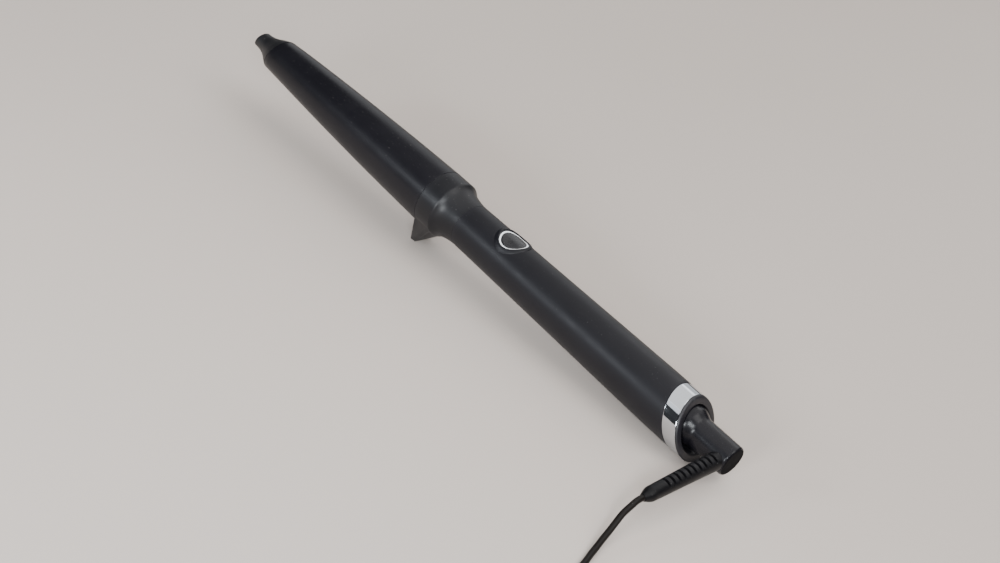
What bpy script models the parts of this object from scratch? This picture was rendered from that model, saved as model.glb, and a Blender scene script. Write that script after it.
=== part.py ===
"""A curling wand lying on a table: tapered barrel, stand collar, handle, swivel, and its cord and plug.

Metres, +Z up. The wand is modelled along its own X axis, tip at -X, from the joint of barrel and collar,
with its button at +Z and its stand at -Z. An empty tips it onto its stand's foot and its end cap's rim.
"""
import math

import bmesh
import bpy
from mathutils import Matrix, Vector

# Clearances and facets
GAP = 0.0003
OVERRUN = 0.004
SEGMENTS = 48
MIDDLE_SEGMENTS = 32
SMALL_SEGMENTS = 16
SHARP_ANGLE = math.radians(32)

# Barrel and its cool tip
BARREL_LENGTH = 0.1314
BARREL_BASE_RADIUS = 0.0150
BARREL_WALL = 0.0020
BARREL_TAPER_SHARE = 0.3725
BARREL_STRAIGHT_SHARE = 0.4875
BARREL_TIP_SLANT = math.radians(-15.9)
SPIGOT_LENGTH = 0.0080
SPIGOT_WALL = 0.0020
COOL_TIP_LENGTH = 0.0164
COOL_TIP_NECK_RADIUS = 0.0045
COOL_TIP_END_ROUNDING = 0.0009
COOL_TIP_SLANT_SHARE = 1.2
COOL_TIP_PLUG_LENGTH = 0.0120

# Heater inside the barrel
HEATER_TIP_ROOM = 0.0094
HEATER_BASE_OFFSET = 0.0220
HEATER_STRIP_WIDTH = 0.0110
HEATER_STRIP_THICKNESS = 0.0016
FUSE_RADIUS = 0.0018
FUSE_LENGTH = 0.0105
SENSOR_RADIUS = 0.0011
SENSOR_LENGTH = 0.0060
HEATER_LEAD_RADIUS = 0.0008

# Stand collar
COLLAR_RING_LENGTH = 0.0099
COLLAR_RING_WALL = 0.0021
COLLAR_LENGTH = 0.0227
COLLAR_BORE_RADIUS = 0.0080
COLLAR_PLUG_LENGTH = 0.0090
INSULATOR_THICKNESS = 0.0010
FOOT_DROP = 0.0261
FOOT_OFFSET = -0.0034
FOOT_THICKNESS = 0.0030
FOOT_HALF_WIDTH = 0.0050
FIN_SINK = 0.0002
FIN_EDGE_RADIUS = 0.0007

# Handle sleeve and what it carries
HANDLE_NECK_RADIUS = 0.0113
HANDLE_BUTT_RADIUS = 0.01315
HANDLE_STRAIGHT_LENGTH = 0.0150
HANDLE_LENGTH = 0.1406
HANDLE_WALL = 0.0018
BUTT_SLANT = math.radians(26.1)
TRAY_OFFSET = 0.0130
BOARD_LEDGE = 0.0008
BOARD_THICKNESS = 0.0012
BOARD_HALF_WIDTH = 0.0082

# Power button and its light ring
BUTTON_OFFSET = 0.0271
BUTTON_TRAVEL = 0.0008
LIGHT_RING_RADIUS = 0.00695
LIGHT_RING_WIDTH = 0.0009
LIGHT_RING_FOOT_HEIGHT = 0.0054
BEZEL_WIDTH = 0.0017
BEZEL_RISE = 0.0007
LIGHT_RING_RISE = -0.0002
BUTTON_RISE = -0.0001
BUTTON_FLANGE_THICKNESS = 0.0010
BUTTON_EDGE_RADIUS = 0.0003
SWITCH_SIZE = (0.0060, 0.0060, 0.0005)
SWITCH_PLUNGER_RADIUS = 0.0016
LAMP_SIZE = (0.0016, 0.0012, 0.0009)

# Parts on the circuit board: along X, across Y, height
TRIAC_SIZE = (0.0100, 0.0075, 0.0042)
FILTER_CAPACITOR_SIZE = (0.0130, 0.0060, 0.0068)
CHIP_SIZE = (0.0070, 0.0070, 0.0010)
CHOKE_RADIUS = 0.0034
CHOKE_LENGTH = 0.0080
BUFFER_CAPACITOR_RADIUS = 0.0030
BUFFER_CAPACITOR_LENGTH = 0.0100

# Chrome band and end cap
BAND_LENGTH = 0.0078
BAND_WALL = 0.0017
CAP_RIM_RADIUS = 0.0009
CAP_PLUG_LENGTH = 0.0150
CAP_PLUG_WALL = 0.0028
SOCKET_RADIUS = 0.0096
SOCKET_TAPER = 0.0017
SOCKET_FLOOR_DEPTH = 0.0065
SOCKET_FLOOR_THICKNESS = 0.0065

# Swivel
SWIVEL_RADIUS = 0.00726
SWIVEL_LENGTH = 0.0275
SWIVEL_RIM_RADIUS = 0.0014
JOURNAL_RADIUS = 0.0047
JOURNAL_LENGTH = 0.0125
CLIP_RADIUS = 0.0069
CLIP_THICKNESS = 0.0010
CLIP_GROOVE_DEPTH = 0.0008
SLIP_RING_LENGTH = 0.0022
SLIP_RING_WALL = 0.0010
CENTRE_PIN_RADIUS = 0.0014
CENTRE_PIN_LENGTH = 0.0030
BRUSH_THICKNESS = 0.0005
BRUSH_WIDTH = 0.0026
CONTACT_BLOCK_LENGTH = 0.0040
MAINS_LEAD_RADIUS = 0.0009
MAINS_LEAD_ROOM = 0.0083

# Strain relief, square to the swivel and a little below level
RELIEF_OFFSET = 0.0045
RELIEF_DIP = math.radians(1.1)
RELIEF_LENGTH = 0.0454
RELIEF_START_RADIUS = 0.0041
RELIEF_END_RADIUS = 0.0033
RELIEF_END_ROUNDING = 0.0052
RELIEF_SLOTS = 8
RELIEF_SLOT_OFFSET = 0.0103
RELIEF_SLOT_PITCH = 0.0040
RELIEF_SLOT_WIDTH = 0.0017
RELIEF_SLOT_DEPTH = 0.0015
RELIEF_PLUG_RADIUS = 0.0030
RELIEF_PLUG_LENGTH = 0.0030

# Cord: what lies free, its coil and its tail to the plug
CORD_RADIUS = 0.0014
CORD_POINT_STEP = 0.0055
COIL_MIDDLE_RADIUS = 0.0174
COIL_PITCH = 0.00325
COIL_TURNS_PER_LAYER = 4
COIL_LAYERS = 4
COIL_POINTS_PER_TURN = 24
COIL_SWING_SHARE = 0.08
COIL_CENTRE = (0.2005, -0.1410)
COIL_START_ANGLE = math.radians(205)
TIE_THICKNESS = 0.0008
TIE_WIDTH = 0.0060
TIE_EASE = 0.0008
TIE_ANGLE = COIL_START_ANGLE + math.pi / 2

# Plug: a flat two-pin mains plug lying beside the coil
PLUG_LENGTH = 0.0360
PLUG_WIDTH = 0.0353
PLUG_THICKNESS = 0.0137
PLUG_NECK_SHARE = 0.36
PLUG_FLARE_SHARE = 0.55
PLUG_EDGE_RADIUS = 0.0030
PIN_RADIUS = 0.0020
PIN_LENGTH = 0.0190
PIN_SPACING = 0.0186
PIN_SLEEVE_SHARE = 0.53
PIN_SLEEVE_DEPTH = 0.0002
PLUG_RELIEF_LENGTH = 0.0220
PLUG_RELIEF_RIBS = 4
PLUG_RELIEF_RIB_DEPTH = 0.0009
PLUG_RELIEF_RADIUS = 0.0036
PLUG_HEADING = math.radians(60)


def clear_scene():
    """Start from an empty scene."""
    for item in list(bpy.data.objects):
        bpy.data.objects.remove(item, do_unlink=True)


def make_material(name, colour, roughness, metallic=0.0):
    """A plain material with one colour."""
    material = bpy.data.materials.new(name)
    material.use_nodes = True
    shader = material.node_tree.nodes["Principled BSDF"]
    shader.inputs["Base Color"].default_value = (*colour, 1.0)
    shader.inputs["Roughness"].default_value = roughness
    shader.inputs["Metallic"].default_value = metallic
    material.diffuse_color = (*colour, 1.0)
    return material


def add_object(name, bm, material, parent=None, place=None):
    """Turn a bmesh into a named object with outward faces, smooth where its faces meet gently."""
    bmesh.ops.recalc_face_normals(bm, faces=bm.faces)
    mesh = bpy.data.meshes.new(name)
    bm.to_mesh(mesh)
    bm.free()
    mesh.materials.append(material)
    mesh.shade_smooth()
    mesh.set_sharp_from_angle(angle=SHARP_ANGLE)
    item = bpy.data.objects.new(name, mesh)
    bpy.context.collection.objects.link(item)
    item.parent = parent
    if place is not None:
        item.matrix_local = place
    return item


def ring_matrix(x, radius, slant):
    """Take the unit circle of XY to a leaning ring round the X axis: its -Z side lies further along +X."""
    return Matrix((
        (0, -math.tan(slant) * radius, 1, x),
        (radius, 0, 0, 0),
        (0, radius, 0, 0),
        (0, 0, 0, 1),
    ))


def turned(stations, hollow, segments=SEGMENTS):
    """Extrude a ring through stations of x, radius and slant. A hollow body closes on its first ring."""
    bm = bmesh.new()
    start = ring_matrix(*stations[0])
    bmesh.ops.create_circle(bm, cap_ends=False, radius=1, segments=segments, matrix=start)
    first_edges = bm.edges[:]
    edges = first_edges
    for before, after in zip(stations, stations[1:]):
        made = bmesh.ops.extrude_edge_only(bm, edges=edges)["geom"]
        edges = [part for part in made if isinstance(part, bmesh.types.BMEdge)]
        verts = [part for part in made if isinstance(part, bmesh.types.BMVert)]
        step = ring_matrix(*after) @ ring_matrix(*before).inverted()
        bmesh.ops.transform(bm, matrix=step, verts=verts)
    if hollow:
        bmesh.ops.bridge_loops(bm, edges=first_edges + edges)
    else:
        bmesh.ops.holes_fill(bm, edges=first_edges + edges, sides=0)
    return bm


def round_over(x, radius, fillet, slant=0.0, steps=4, lead=1):
    """Stations of a quarter round from the side at radius to the end face at x. lead -1 is the tip's end."""
    stations = []
    for step in range(steps + 1):
        angle = step / steps * math.pi / 2
        along = x - lead * fillet * (1 - math.sin(angle))
        stations.append((along, radius - fillet * (1 - math.cos(angle)), slant))
    return stations


def keep_above(bm, height):
    """Cut a body level and close it, keeping what lies above the height."""
    geometry = bm.verts[:] + bm.edges[:] + bm.faces[:]
    bmesh.ops.bisect_plane(bm, geom=geometry, plane_co=(0, 0, height), plane_no=(0, 0, 1), clear_inner=True)
    rim = [edge for edge in bm.edges if edge.is_boundary]
    bmesh.ops.holes_fill(bm, edges=rim, sides=0)


def add_block(name, size, centre, material, parent, edge_radius=0.0):
    """A rectangular block, with its edges rounded where a radius is given."""
    bm = bmesh.new()
    bmesh.ops.create_cube(bm, size=1, matrix=Matrix.Diagonal((*size, 1)))
    block = add_object(name, bm, material, parent, Matrix.Translation(centre))
    if edge_radius:
        soften(block, edge_radius)
    return block


def soften(item, radius, segments=2):
    """Round the sharp edges of an object."""
    bevel = item.modifiers.new("Soft edges", "BEVEL")
    bevel.width = radius
    bevel.segments = segments
    bevel.limit_method = "ANGLE"
    bevel.angle_limit = SHARP_ANGLE


def combine(item, tool, operation):
    """Add a Boolean with a tool object, which stays as a wire guide."""
    modifier = item.modifiers.new(tool.name, "BOOLEAN")
    modifier.operation = operation
    modifier.object = tool
    tool.hide_render = True
    tool.display_type = "WIRE"


def smooth_route(points, step):
    """Points at an even step along a smooth curve through the route's own points."""
    route = [Vector(point) for point in points]
    spans = [(after - before).length for before, after in zip(route, route[1:])]
    slopes = [(after - before) / span for before, after, span in zip(route, route[1:], spans)]
    turns = [slopes[0]]
    for slope_in, slope_out, span_in, span_out in zip(slopes, slopes[1:], spans, spans[1:]):
        turns.append((slope_in * span_out + slope_out * span_in) / (span_in + span_out))
    turns.append(slopes[-1])
    parts = 24
    fine = []
    for before, after, turn_in, turn_out, span in zip(route, route[1:], turns, turns[1:], spans):
        for part in range(parts):
            t = part / parts
            rise = t * t * (3 - 2 * t)
            lead = t * (1 - t) ** 2 * span
            trail = t * t * (1 - t) * span
            fine.append(before.lerp(after, rise) + turn_in * lead - turn_out * trail)
    fine.append(route[-1])
    length = route_length(fine)
    count = max(2, round(length / step))
    spaced = [fine[0]]
    travelled = 0.0
    for before, after in zip(fine, fine[1:]):
        travelled += (after - before).length
        if travelled >= len(spaced) * length / count and len(spaced) < count:
            spaced.append(after)
    return spaced + [fine[-1]]


def route_length(points):
    """Length along a list of points."""
    return sum((Vector(after) - Vector(before)).length for before, after in zip(points, points[1:]))


def add_tube(name, points, radius, material, parent=None, resolution=2):
    """A tube along a poly curve, closed at both ends."""
    curve = bpy.data.curves.new(name, "CURVE")
    curve.dimensions = "3D"
    curve.bevel_depth = radius
    curve.bevel_resolution = resolution
    curve.use_fill_caps = True
    spline = curve.splines.new("POLY")
    spline.points.add(len(points) - 1)
    for spot, point in zip(spline.points, points):
        spot.co = (*point, 1)
    curve.materials.append(material)
    tube = bpy.data.objects.new(name, curve)
    bpy.context.collection.objects.link(tube)
    tube.parent = parent
    return tube


def barrel_radius(x):
    """Outer radius of the barrel, which narrows more and more towards its tip."""
    share = -x / BARREL_LENGTH
    loss = BARREL_STRAIGHT_SHARE * share + (1 - BARREL_STRAIGHT_SHARE) * share ** 2
    return BARREL_BASE_RADIUS * (1 - BARREL_TAPER_SHARE * loss)


def barrel_slant(x):
    """Lean of the barrel's rings: none over most of its length, full at the tip's cut."""
    lean_start_share = 0.9
    share = (-x / BARREL_LENGTH - lean_start_share) / (1 - lean_start_share)
    return BARREL_TIP_SLANT * max(0.0, share)


def handle_radius(x):
    """Outer radius of the handle: it widens evenly, then runs straight at the butt."""
    start = COLLAR_LENGTH
    end = COLLAR_LENGTH + HANDLE_LENGTH - HANDLE_STRAIGHT_LENGTH
    share = min(1.0, (x - start) / (end - start))
    return HANDLE_NECK_RADIUS + (HANDLE_BUTT_RADIUS - HANDLE_NECK_RADIUS) * share


def handle_bore(x):
    """Inner radius of the handle sleeve."""
    return handle_radius(x) - HANDLE_WALL


COOL_TIP_END = -BARREL_LENGTH - COOL_TIP_LENGTH
SPIGOT_RADIUS = BARREL_BASE_RADIUS - COLLAR_RING_WALL - GAP
SPIGOT_BORE = SPIGOT_RADIUS - SPIGOT_WALL
HANDLE_START = COLLAR_LENGTH + GAP
BAND_START = COLLAR_LENGTH + HANDLE_LENGTH
BAND_END = BAND_START + BAND_LENGTH
CAP_FACE = BAND_END + GAP + CAP_RIM_RADIUS
SOCKET_FLOOR = CAP_FACE - SOCKET_FLOOR_DEPTH
SWIVEL_START = SOCKET_FLOOR + GAP
SWIVEL_END = SWIVEL_START + SWIVEL_LENGTH
JOURNAL_END = SWIVEL_START - JOURNAL_LENGTH
CAP_FLOOR_INNER = SOCKET_FLOOR - SOCKET_FLOOR_THICKNESS
CAP_PLUG_END = BAND_START - CAP_PLUG_LENGTH
CAP_RADIUS = HANDLE_BUTT_RADIUS
BOARD_TOP = GAP + BOARD_THICKNESS
PART_SEAT = BOARD_TOP + GAP
BUTTON_X = COLLAR_LENGTH + BUTTON_OFFSET
BUTTON_FOOT = LIGHT_RING_FOOT_HEIGHT - GAP - BUTTON_FLANGE_THICKNESS
BLOCK_END = CAP_PLUG_END - GAP
BLOCK_START = BLOCK_END - CONTACT_BLOCK_LENGTH
TRAY_START = COLLAR_LENGTH + TRAY_OFFSET
TRAY_END = BLOCK_START - MAINS_LEAD_ROOM
RELIEF_X = SWIVEL_END - RELIEF_OFFSET

# The wand's tilt brings its foot and the lowest point of its end cap to the table
CAP_CONTACT_X = BAND_END + GAP + math.tan(BUTT_SLANT) * CAP_RADIUS
TILT = math.atan((FOOT_DROP - CAP_RADIUS) / (CAP_CONTACT_X - FOOT_OFFSET))


def barrel(parent, material):
    """Tapered aluminium tube, cut aslant at the tip, with a spigot that goes into the collar."""
    outer = []
    inner = []
    for share in (1.0, 0.95, 0.9, 0.78, 0.64, 0.48, 0.32, 0.16, 0.0):
        x = -GAP - (BARREL_LENGTH - GAP) * share
        outer.append((x, barrel_radius(x), barrel_slant(x)))
        if share in (1.0, 0.9, 0.64, 0.32, 0.16):
            inner.append((x, barrel_radius(x) - BARREL_WALL, barrel_slant(x)))
    spigot = [
        (-GAP, SPIGOT_RADIUS, 0),
        (SPIGOT_LENGTH, SPIGOT_RADIUS, 0),
        (SPIGOT_LENGTH, SPIGOT_BORE, 0),
        (-SPIGOT_LENGTH, SPIGOT_BORE, 0),
    ]
    add_object("barrel", turned(outer + spigot + inner[::-1], hollow=True), material, parent)


def cool_tip(parent, material):
    """Heat-proof end piece: a plug inside the barrel, then a hollow-sided cone down to a small knob."""
    start = -BARREL_LENGTH
    plug_end = start + COOL_TIP_PLUG_LENGTH
    bore_here = barrel_radius(plug_end) - BARREL_WALL - GAP
    bore_there = barrel_radius(start) - BARREL_WALL - GAP
    stations = [
        (plug_end, bore_here, 0),
        (start - GAP, bore_there, BARREL_TIP_SLANT),
    ]
    base_radius = barrel_radius(start)
    outline_shares = (
        (0.0, 0.98, 1.0), (0.16, 0.76, 0.85), (0.32, 0.5, 0.75), (0.47, 0.28, 0.75),
        (0.62, 0.13, 0.85), (0.76, 0.05, 1.0), (0.88, 0.01, 1.1))
    for along_share, rise_share, slant_share in outline_shares:
        radius = COOL_TIP_NECK_RADIUS + (base_radius - COOL_TIP_NECK_RADIUS) * rise_share
        x = start - GAP + (COOL_TIP_END - start + GAP) * along_share
        stations.append((x, radius, BARREL_TIP_SLANT * slant_share))
    stations += round_over(COOL_TIP_END, COOL_TIP_NECK_RADIUS, COOL_TIP_END_ROUNDING,
                           BARREL_TIP_SLANT * COOL_TIP_SLANT_SHARE, steps=3, lead=-1)
    add_object("cool_tip", turned(stations, hollow=False, segments=MIDDLE_SEGMENTS), material, parent)


def heater(parent, metal, ceramic, glass, wire):
    """Flat ceramic heater pressed between two half-round spreaders, with its sensor, fuse and leads."""
    near_end = -HEATER_BASE_OFFSET
    far_end = -BARREL_LENGTH + COOL_TIP_PLUG_LENGTH + HEATER_TIP_ROOM
    strip_centre = ((near_end + far_end) / 2, 0, 0)
    strip_size = (near_end - far_end, HEATER_STRIP_WIDTH, HEATER_STRIP_THICKNESS)
    add_block("heater_strip", strip_size, strip_centre, ceramic, parent)
    stations = []
    for share in (0.0, 0.33, 0.66, 1.0):
        x = near_end + (far_end - near_end) * share
        stations.append((x, barrel_radius(x) - BARREL_WALL - GAP, 0))
    for name, side in (("heat_spreader_upper", 1), ("heat_spreader_lower", -1)):
        bm = turned(stations, hollow=False, segments=MIDDLE_SEGMENTS)
        keep_above(bm, HEATER_STRIP_THICKNESS / 2 + GAP)
        if side < 0:
            bmesh.ops.rotate(bm, verts=bm.verts, matrix=Matrix.Rotation(math.pi, 3, "X"))
        add_object(name, bm, metal, parent)
    sensor_x = near_end + GAP + SENSOR_LENGTH / 2
    sensor = turned([(-SENSOR_LENGTH / 2, SENSOR_RADIUS, 0), (SENSOR_LENGTH / 2, SENSOR_RADIUS, 0)],
                    hollow=False, segments=SMALL_SEGMENTS)
    add_object("temperature_sensor", sensor, glass, parent, Matrix.Translation((sensor_x, 0, 0)))
    fuse_y = SPIGOT_BORE - GAP - FUSE_RADIUS
    fuse = turned([(-FUSE_LENGTH / 2, FUSE_RADIUS, 0), (FUSE_LENGTH / 2, FUSE_RADIUS, 0)],
                  hollow=False, segments=SMALL_SEGMENTS)
    add_object("thermal_fuse", fuse, metal, parent, Matrix.Translation((0, fuse_y, 0)))
    lead_height = COLLAR_BORE_RADIUS - GAP - HEATER_LEAD_RADIUS
    strip_edge = HEATER_STRIP_WIDTH / 2 - HEATER_LEAD_RADIUS
    board_height = GAP + HEATER_LEAD_RADIUS
    for name, side in (("heater_lead_left", 1), ("heater_lead_right", -1)):
        points = [
            (near_end + GAP, side * strip_edge, 0),
            (near_end / 2, side * strip_edge, -lead_height * 0.35),
            (COLLAR_RING_LENGTH, side * strip_edge / 2, -lead_height * 0.85),
            (COLLAR_LENGTH, side * strip_edge / 2, -lead_height * 0.8),
            (TRAY_START - TRAY_OFFSET / 3, side * strip_edge, 0),
            (TRAY_START - GAP, side * strip_edge, board_height),
        ]
        add_tube(name, smooth_route(points, HEATER_LEAD_RADIUS * 5), HEATER_LEAD_RADIUS, wire, parent, 1)


def stand_collar(parent, material, ceramic):
    """Collar with a rounded shoulder, a slim neck that plugs into the handle, and the stand's fin."""
    ring = BARREL_BASE_RADIUS
    neck = HANDLE_NECK_RADIUS
    fall = COLLAR_LENGTH - COLLAR_RING_LENGTH
    drop = ring - neck
    seat = SPIGOT_LENGTH + GAP + INSULATOR_THICKNESS + GAP
    plug_radius = handle_bore(HANDLE_START) - GAP
    plug_end = COLLAR_LENGTH + COLLAR_PLUG_LENGTH
    stations = [
        (0, SPIGOT_RADIUS + GAP, 0),
        (0, ring, 0),
        (COLLAR_RING_LENGTH, ring, 0),
    ]
    shoulder_shares = ((0.03, 0.04), (0.055, 0.13), (0.08, 0.24), (0.11, 0.35), (0.15, 0.45))
    waist_shares = ((0.2, 0.56), (0.27, 0.66), (0.36, 0.745), (0.48, 0.82), (0.62, 0.895), (0.8, 0.96))
    for along_share, drop_share in shoulder_shares + waist_shares:
        stations.append((COLLAR_RING_LENGTH + fall * along_share, ring - drop * drop_share, 0))
    stations += [
        (COLLAR_LENGTH, neck, 0),
        (COLLAR_LENGTH, plug_radius, 0),
        (plug_end, plug_radius, 0),
        (plug_end, COLLAR_BORE_RADIUS, 0),
        (seat, COLLAR_BORE_RADIUS, 0),
        (seat, SPIGOT_RADIUS + GAP, 0),
    ]
    collar = add_object("stand_collar", turned(stations, hollow=True), material, parent)
    combine(collar, stand_fin(parent, material), "UNION")
    washer_start = SPIGOT_LENGTH + GAP
    washer = [
        (washer_start, SPIGOT_BORE, 0),
        (washer_start, SPIGOT_RADIUS, 0),
        (washer_start + INSULATOR_THICKNESS, SPIGOT_RADIUS, 0),
        (washer_start + INSULATOR_THICKNESS, SPIGOT_BORE, 0),
    ]
    add_object("heat_washer", turned(washer, hollow=True, segments=MIDDLE_SEGMENTS), ceramic, parent)


def stand_fin(parent, material):
    """Wedge that runs off the collar's sides to a flat foot, leaning forward under the barrel."""
    reach = math.hypot(FOOT_DROP, FOOT_HALF_WIDTH)
    arc_radius = BARREL_BASE_RADIUS - FIN_SINK
    side_angle = math.atan2(FOOT_HALF_WIDTH, FOOT_DROP) + math.acos(arc_radius / reach)
    bm = bmesh.new()
    arc_points = 12
    for x in (FIN_SINK, COLLAR_RING_LENGTH):
        for step in range(arc_points + 1):
            angle = side_angle * (2 * step / arc_points - 1)
            bmesh.ops.create_vert(bm, co=(x, arc_radius * math.sin(angle), -arc_radius * math.cos(angle)))
    for lengthwise in (-0.5, 0.5):
        for side in (-1, 1):
            along = FOOT_THICKNESS * lengthwise
            level = -FOOT_DROP + math.tan(TILT) * along
            bmesh.ops.create_vert(bm, co=(FOOT_OFFSET + along, side * FOOT_HALF_WIDTH, level))
    bmesh.ops.convex_hull(bm, input=bm.verts)
    bmesh.ops.delete(bm, geom=[vert for vert in bm.verts if not vert.link_faces], context="VERTS")
    fin = add_object("stand_fin_guide", bm, material, parent)
    soften(fin, FIN_EDGE_RADIUS)
    clear_radius = BARREL_BASE_RADIUS + GAP
    wall_middle = (SPIGOT_RADIUS + GAP + BARREL_BASE_RADIUS) / 2
    clear = turned([
        (-BARREL_BASE_RADIUS, clear_radius, 0),
        (FIN_SINK / 2, clear_radius, 0),
        (FIN_SINK / 2, wall_middle, 0),
        (COLLAR_RING_LENGTH + OVERRUN, wall_middle, 0),
    ], hollow=False)
    combine(fin, add_object("barrel_room_guide", clear, material, parent), "DIFFERENCE")
    return fin


def handle_sleeve(parent, material):
    """Soft-touch tube that widens to the butt, cut aslant there, with the button's hole."""
    straight = BAND_START - HANDLE_STRAIGHT_LENGTH
    end = BAND_START - GAP
    outer = []
    inner = []
    for share in (0.0, 0.25, 0.5, 0.75, 1.0):
        x = HANDLE_START + (straight - HANDLE_START) * share
        outer.append((x, handle_radius(x), 0))
        if share in (0.0, 0.5, 1.0):
            inner.append((x, handle_bore(x), 0))
    outer.append((end, handle_radius(end), BUTT_SLANT))
    inner.append((end, handle_bore(end), BUTT_SLANT))
    sleeve = add_object("handle_sleeve", turned(outer + inner[::-1], hollow=True), material, parent)
    hole_radius = LIGHT_RING_RADIUS + GAP
    bezel = upright_post("bezel_guide", hole_radius + BEZEL_WIDTH, parent, material)
    form = handle_form("bezel_form_guide", parent, material, BEZEL_RISE, HANDLE_WALL / 2)
    combine(bezel, form, "INTERSECT")
    combine(sleeve, bezel, "UNION")
    combine(sleeve, upright_post("button_hole_guide", hole_radius, parent, material), "DIFFERENCE")


def upright_post(name, radius, parent, material):
    """Guide for a round post at the button's place, from the light ring's foot to above the handle."""
    top = HANDLE_BUTT_RADIUS + OVERRUN
    post = turned([(LIGHT_RING_FOOT_HEIGHT, radius, 0), (top, radius, 0)], hollow=False)
    place = Matrix.Translation((BUTTON_X, 0, 0)) @ Matrix.Rotation(-math.pi / 2, 4, "Y")
    return add_object(name, post, material, parent, place)


def handle_form(name, parent, material, proud, depth=0.0):
    """Guide with the handle's outer form round the button, a little proud: a shell where it has a depth."""
    near = BUTTON_X - 2 * LIGHT_RING_RADIUS
    far = BUTTON_X + 2 * LIGHT_RING_RADIUS
    stations = [(near, handle_radius(near) + proud, 0), (far, handle_radius(far) + proud, 0)]
    if depth:
        stations += [(far, handle_radius(far) - depth, 0), (near, handle_radius(near) - depth, 0)]
    return add_object(name, turned(stations, hollow=bool(depth)), material, parent)


def power_button(parent, gloss, light):
    """Round button inside its light ring, both cut to the handle's round form. The button slides in."""
    top = HANDLE_BUTT_RADIUS + OVERRUN
    upright = Matrix.Rotation(-math.pi / 2, 4, "Y")
    place = Matrix.Translation((BUTTON_X, 0, 0))
    inner_radius = LIGHT_RING_RADIUS - LIGHT_RING_WIDTH
    ring = turned([
        (LIGHT_RING_FOOT_HEIGHT, inner_radius, 0),
        (LIGHT_RING_FOOT_HEIGHT, LIGHT_RING_RADIUS, 0),
        (top, LIGHT_RING_RADIUS, 0),
        (top, inner_radius, 0),
    ], hollow=True, segments=MIDDLE_SEGMENTS)
    ring_item = add_object("light_ring", ring, light, parent, place @ upright)
    combine(ring_item, handle_form("ring_form_guide", parent, light, LIGHT_RING_RISE), "INTERSECT")
    cap_radius = inner_radius - GAP
    flange_top = BUTTON_FOOT + BUTTON_FLANGE_THICKNESS
    button = turned([
        (BUTTON_FOOT, LIGHT_RING_RADIUS - GAP, 0),
        (flange_top, LIGHT_RING_RADIUS - GAP, 0),
        (flange_top, cap_radius, 0),
        (top, cap_radius, 0),
    ], hollow=False, segments=MIDDLE_SEGMENTS)
    bmesh.ops.rotate(button, verts=button.verts, matrix=Matrix.Rotation(-math.pi / 2, 3, "Y"))
    button_item = add_object("power_button", button, gloss, parent, place)
    combine(button_item, handle_form("button_form_guide", parent, gloss, BUTTON_RISE), "INTERSECT")
    soften(button_item, BUTTON_EDGE_RADIUS, 1)


def board_and_parts(parent, frame, board, dark, metal, lamp):
    """Tray in the handle with the circuit board on its two edges and the parts of the circuit."""
    tray_bore = BOARD_HALF_WIDTH - BOARD_LEDGE
    tray = turned([
        (TRAY_START, handle_bore(TRAY_START) - GAP, 0),
        (TRAY_END, handle_bore(TRAY_END) - GAP, 0),
        (TRAY_END, tray_bore, 0),
        (TRAY_START, tray_bore, 0),
    ], hollow=True, segments=MIDDLE_SEGMENTS)
    keep_above(tray, 0)
    bmesh.ops.rotate(tray, verts=tray.verts, matrix=Matrix.Rotation(math.pi, 3, "X"))
    add_object("circuit_tray", tray, frame, parent)
    board_end = TRAY_END - BOARD_LEDGE
    board_size = (TRAY_END - TRAY_START - 2 * BOARD_LEDGE, 2 * BOARD_HALF_WIDTH, BOARD_THICKNESS)
    board_middle = (TRAY_START + TRAY_END) / 2
    add_block("circuit_board", board_size, (board_middle, 0, GAP + BOARD_THICKNESS / 2), board, parent)
    add_block("button_switch", SWITCH_SIZE, (BUTTON_X, 0, PART_SEAT + SWITCH_SIZE[2] / 2), dark, parent)
    plunger = turned([
        (PART_SEAT + SWITCH_SIZE[2] + GAP, SWITCH_PLUNGER_RADIUS, 0),
        (BUTTON_FOOT - BUTTON_TRAVEL - GAP, SWITCH_PLUNGER_RADIUS, 0),
    ], hollow=False, segments=SMALL_SEGMENTS)
    upright = Matrix.Rotation(-math.pi / 2, 4, "Y")
    add_object("switch_plunger", plunger, metal, parent, Matrix.Translation((BUTTON_X, 0, 0)) @ upright)
    lamp_x = BUTTON_X + LIGHT_RING_RADIUS - LIGHT_RING_WIDTH / 2
    add_block("ring_lamp", LAMP_SIZE, (lamp_x, 0, PART_SEAT + LAMP_SIZE[2] / 2), lamp, parent)
    boxed_parts = (
        ("controller_chip", CHIP_SIZE, dark),
        ("heater_triac", TRIAC_SIZE, dark),
        ("filter_capacitor", FILTER_CAPACITOR_SIZE, lamp),
    )
    round_parts = (
        ("buffer_capacitor", BUFFER_CAPACITOR_RADIUS, BUFFER_CAPACITOR_LENGTH, dark),
        ("mains_choke", CHOKE_RADIUS, CHOKE_LENGTH, metal),
    )
    row_start = BUTTON_X + LIGHT_RING_RADIUS + LAMP_SIZE[0]
    lengths = [size[0] for _, size, _ in boxed_parts] + [length for _, _, length, _ in round_parts]
    spacing = (board_end - row_start - sum(lengths)) / len(lengths)
    x = row_start
    for name, size, material in boxed_parts:
        add_block(name, size, (x + size[0] / 2, 0, PART_SEAT + size[2] / 2), material, parent)
        x += size[0] + spacing
    for name, radius, length, material in round_parts:
        body = turned([(x, radius, 0), (x + length, radius, 0)], hollow=False, segments=SMALL_SEGMENTS)
        add_object(name, body, material, parent, Matrix.Translation((0, 0, PART_SEAT + radius)))
        x += length + spacing


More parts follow.
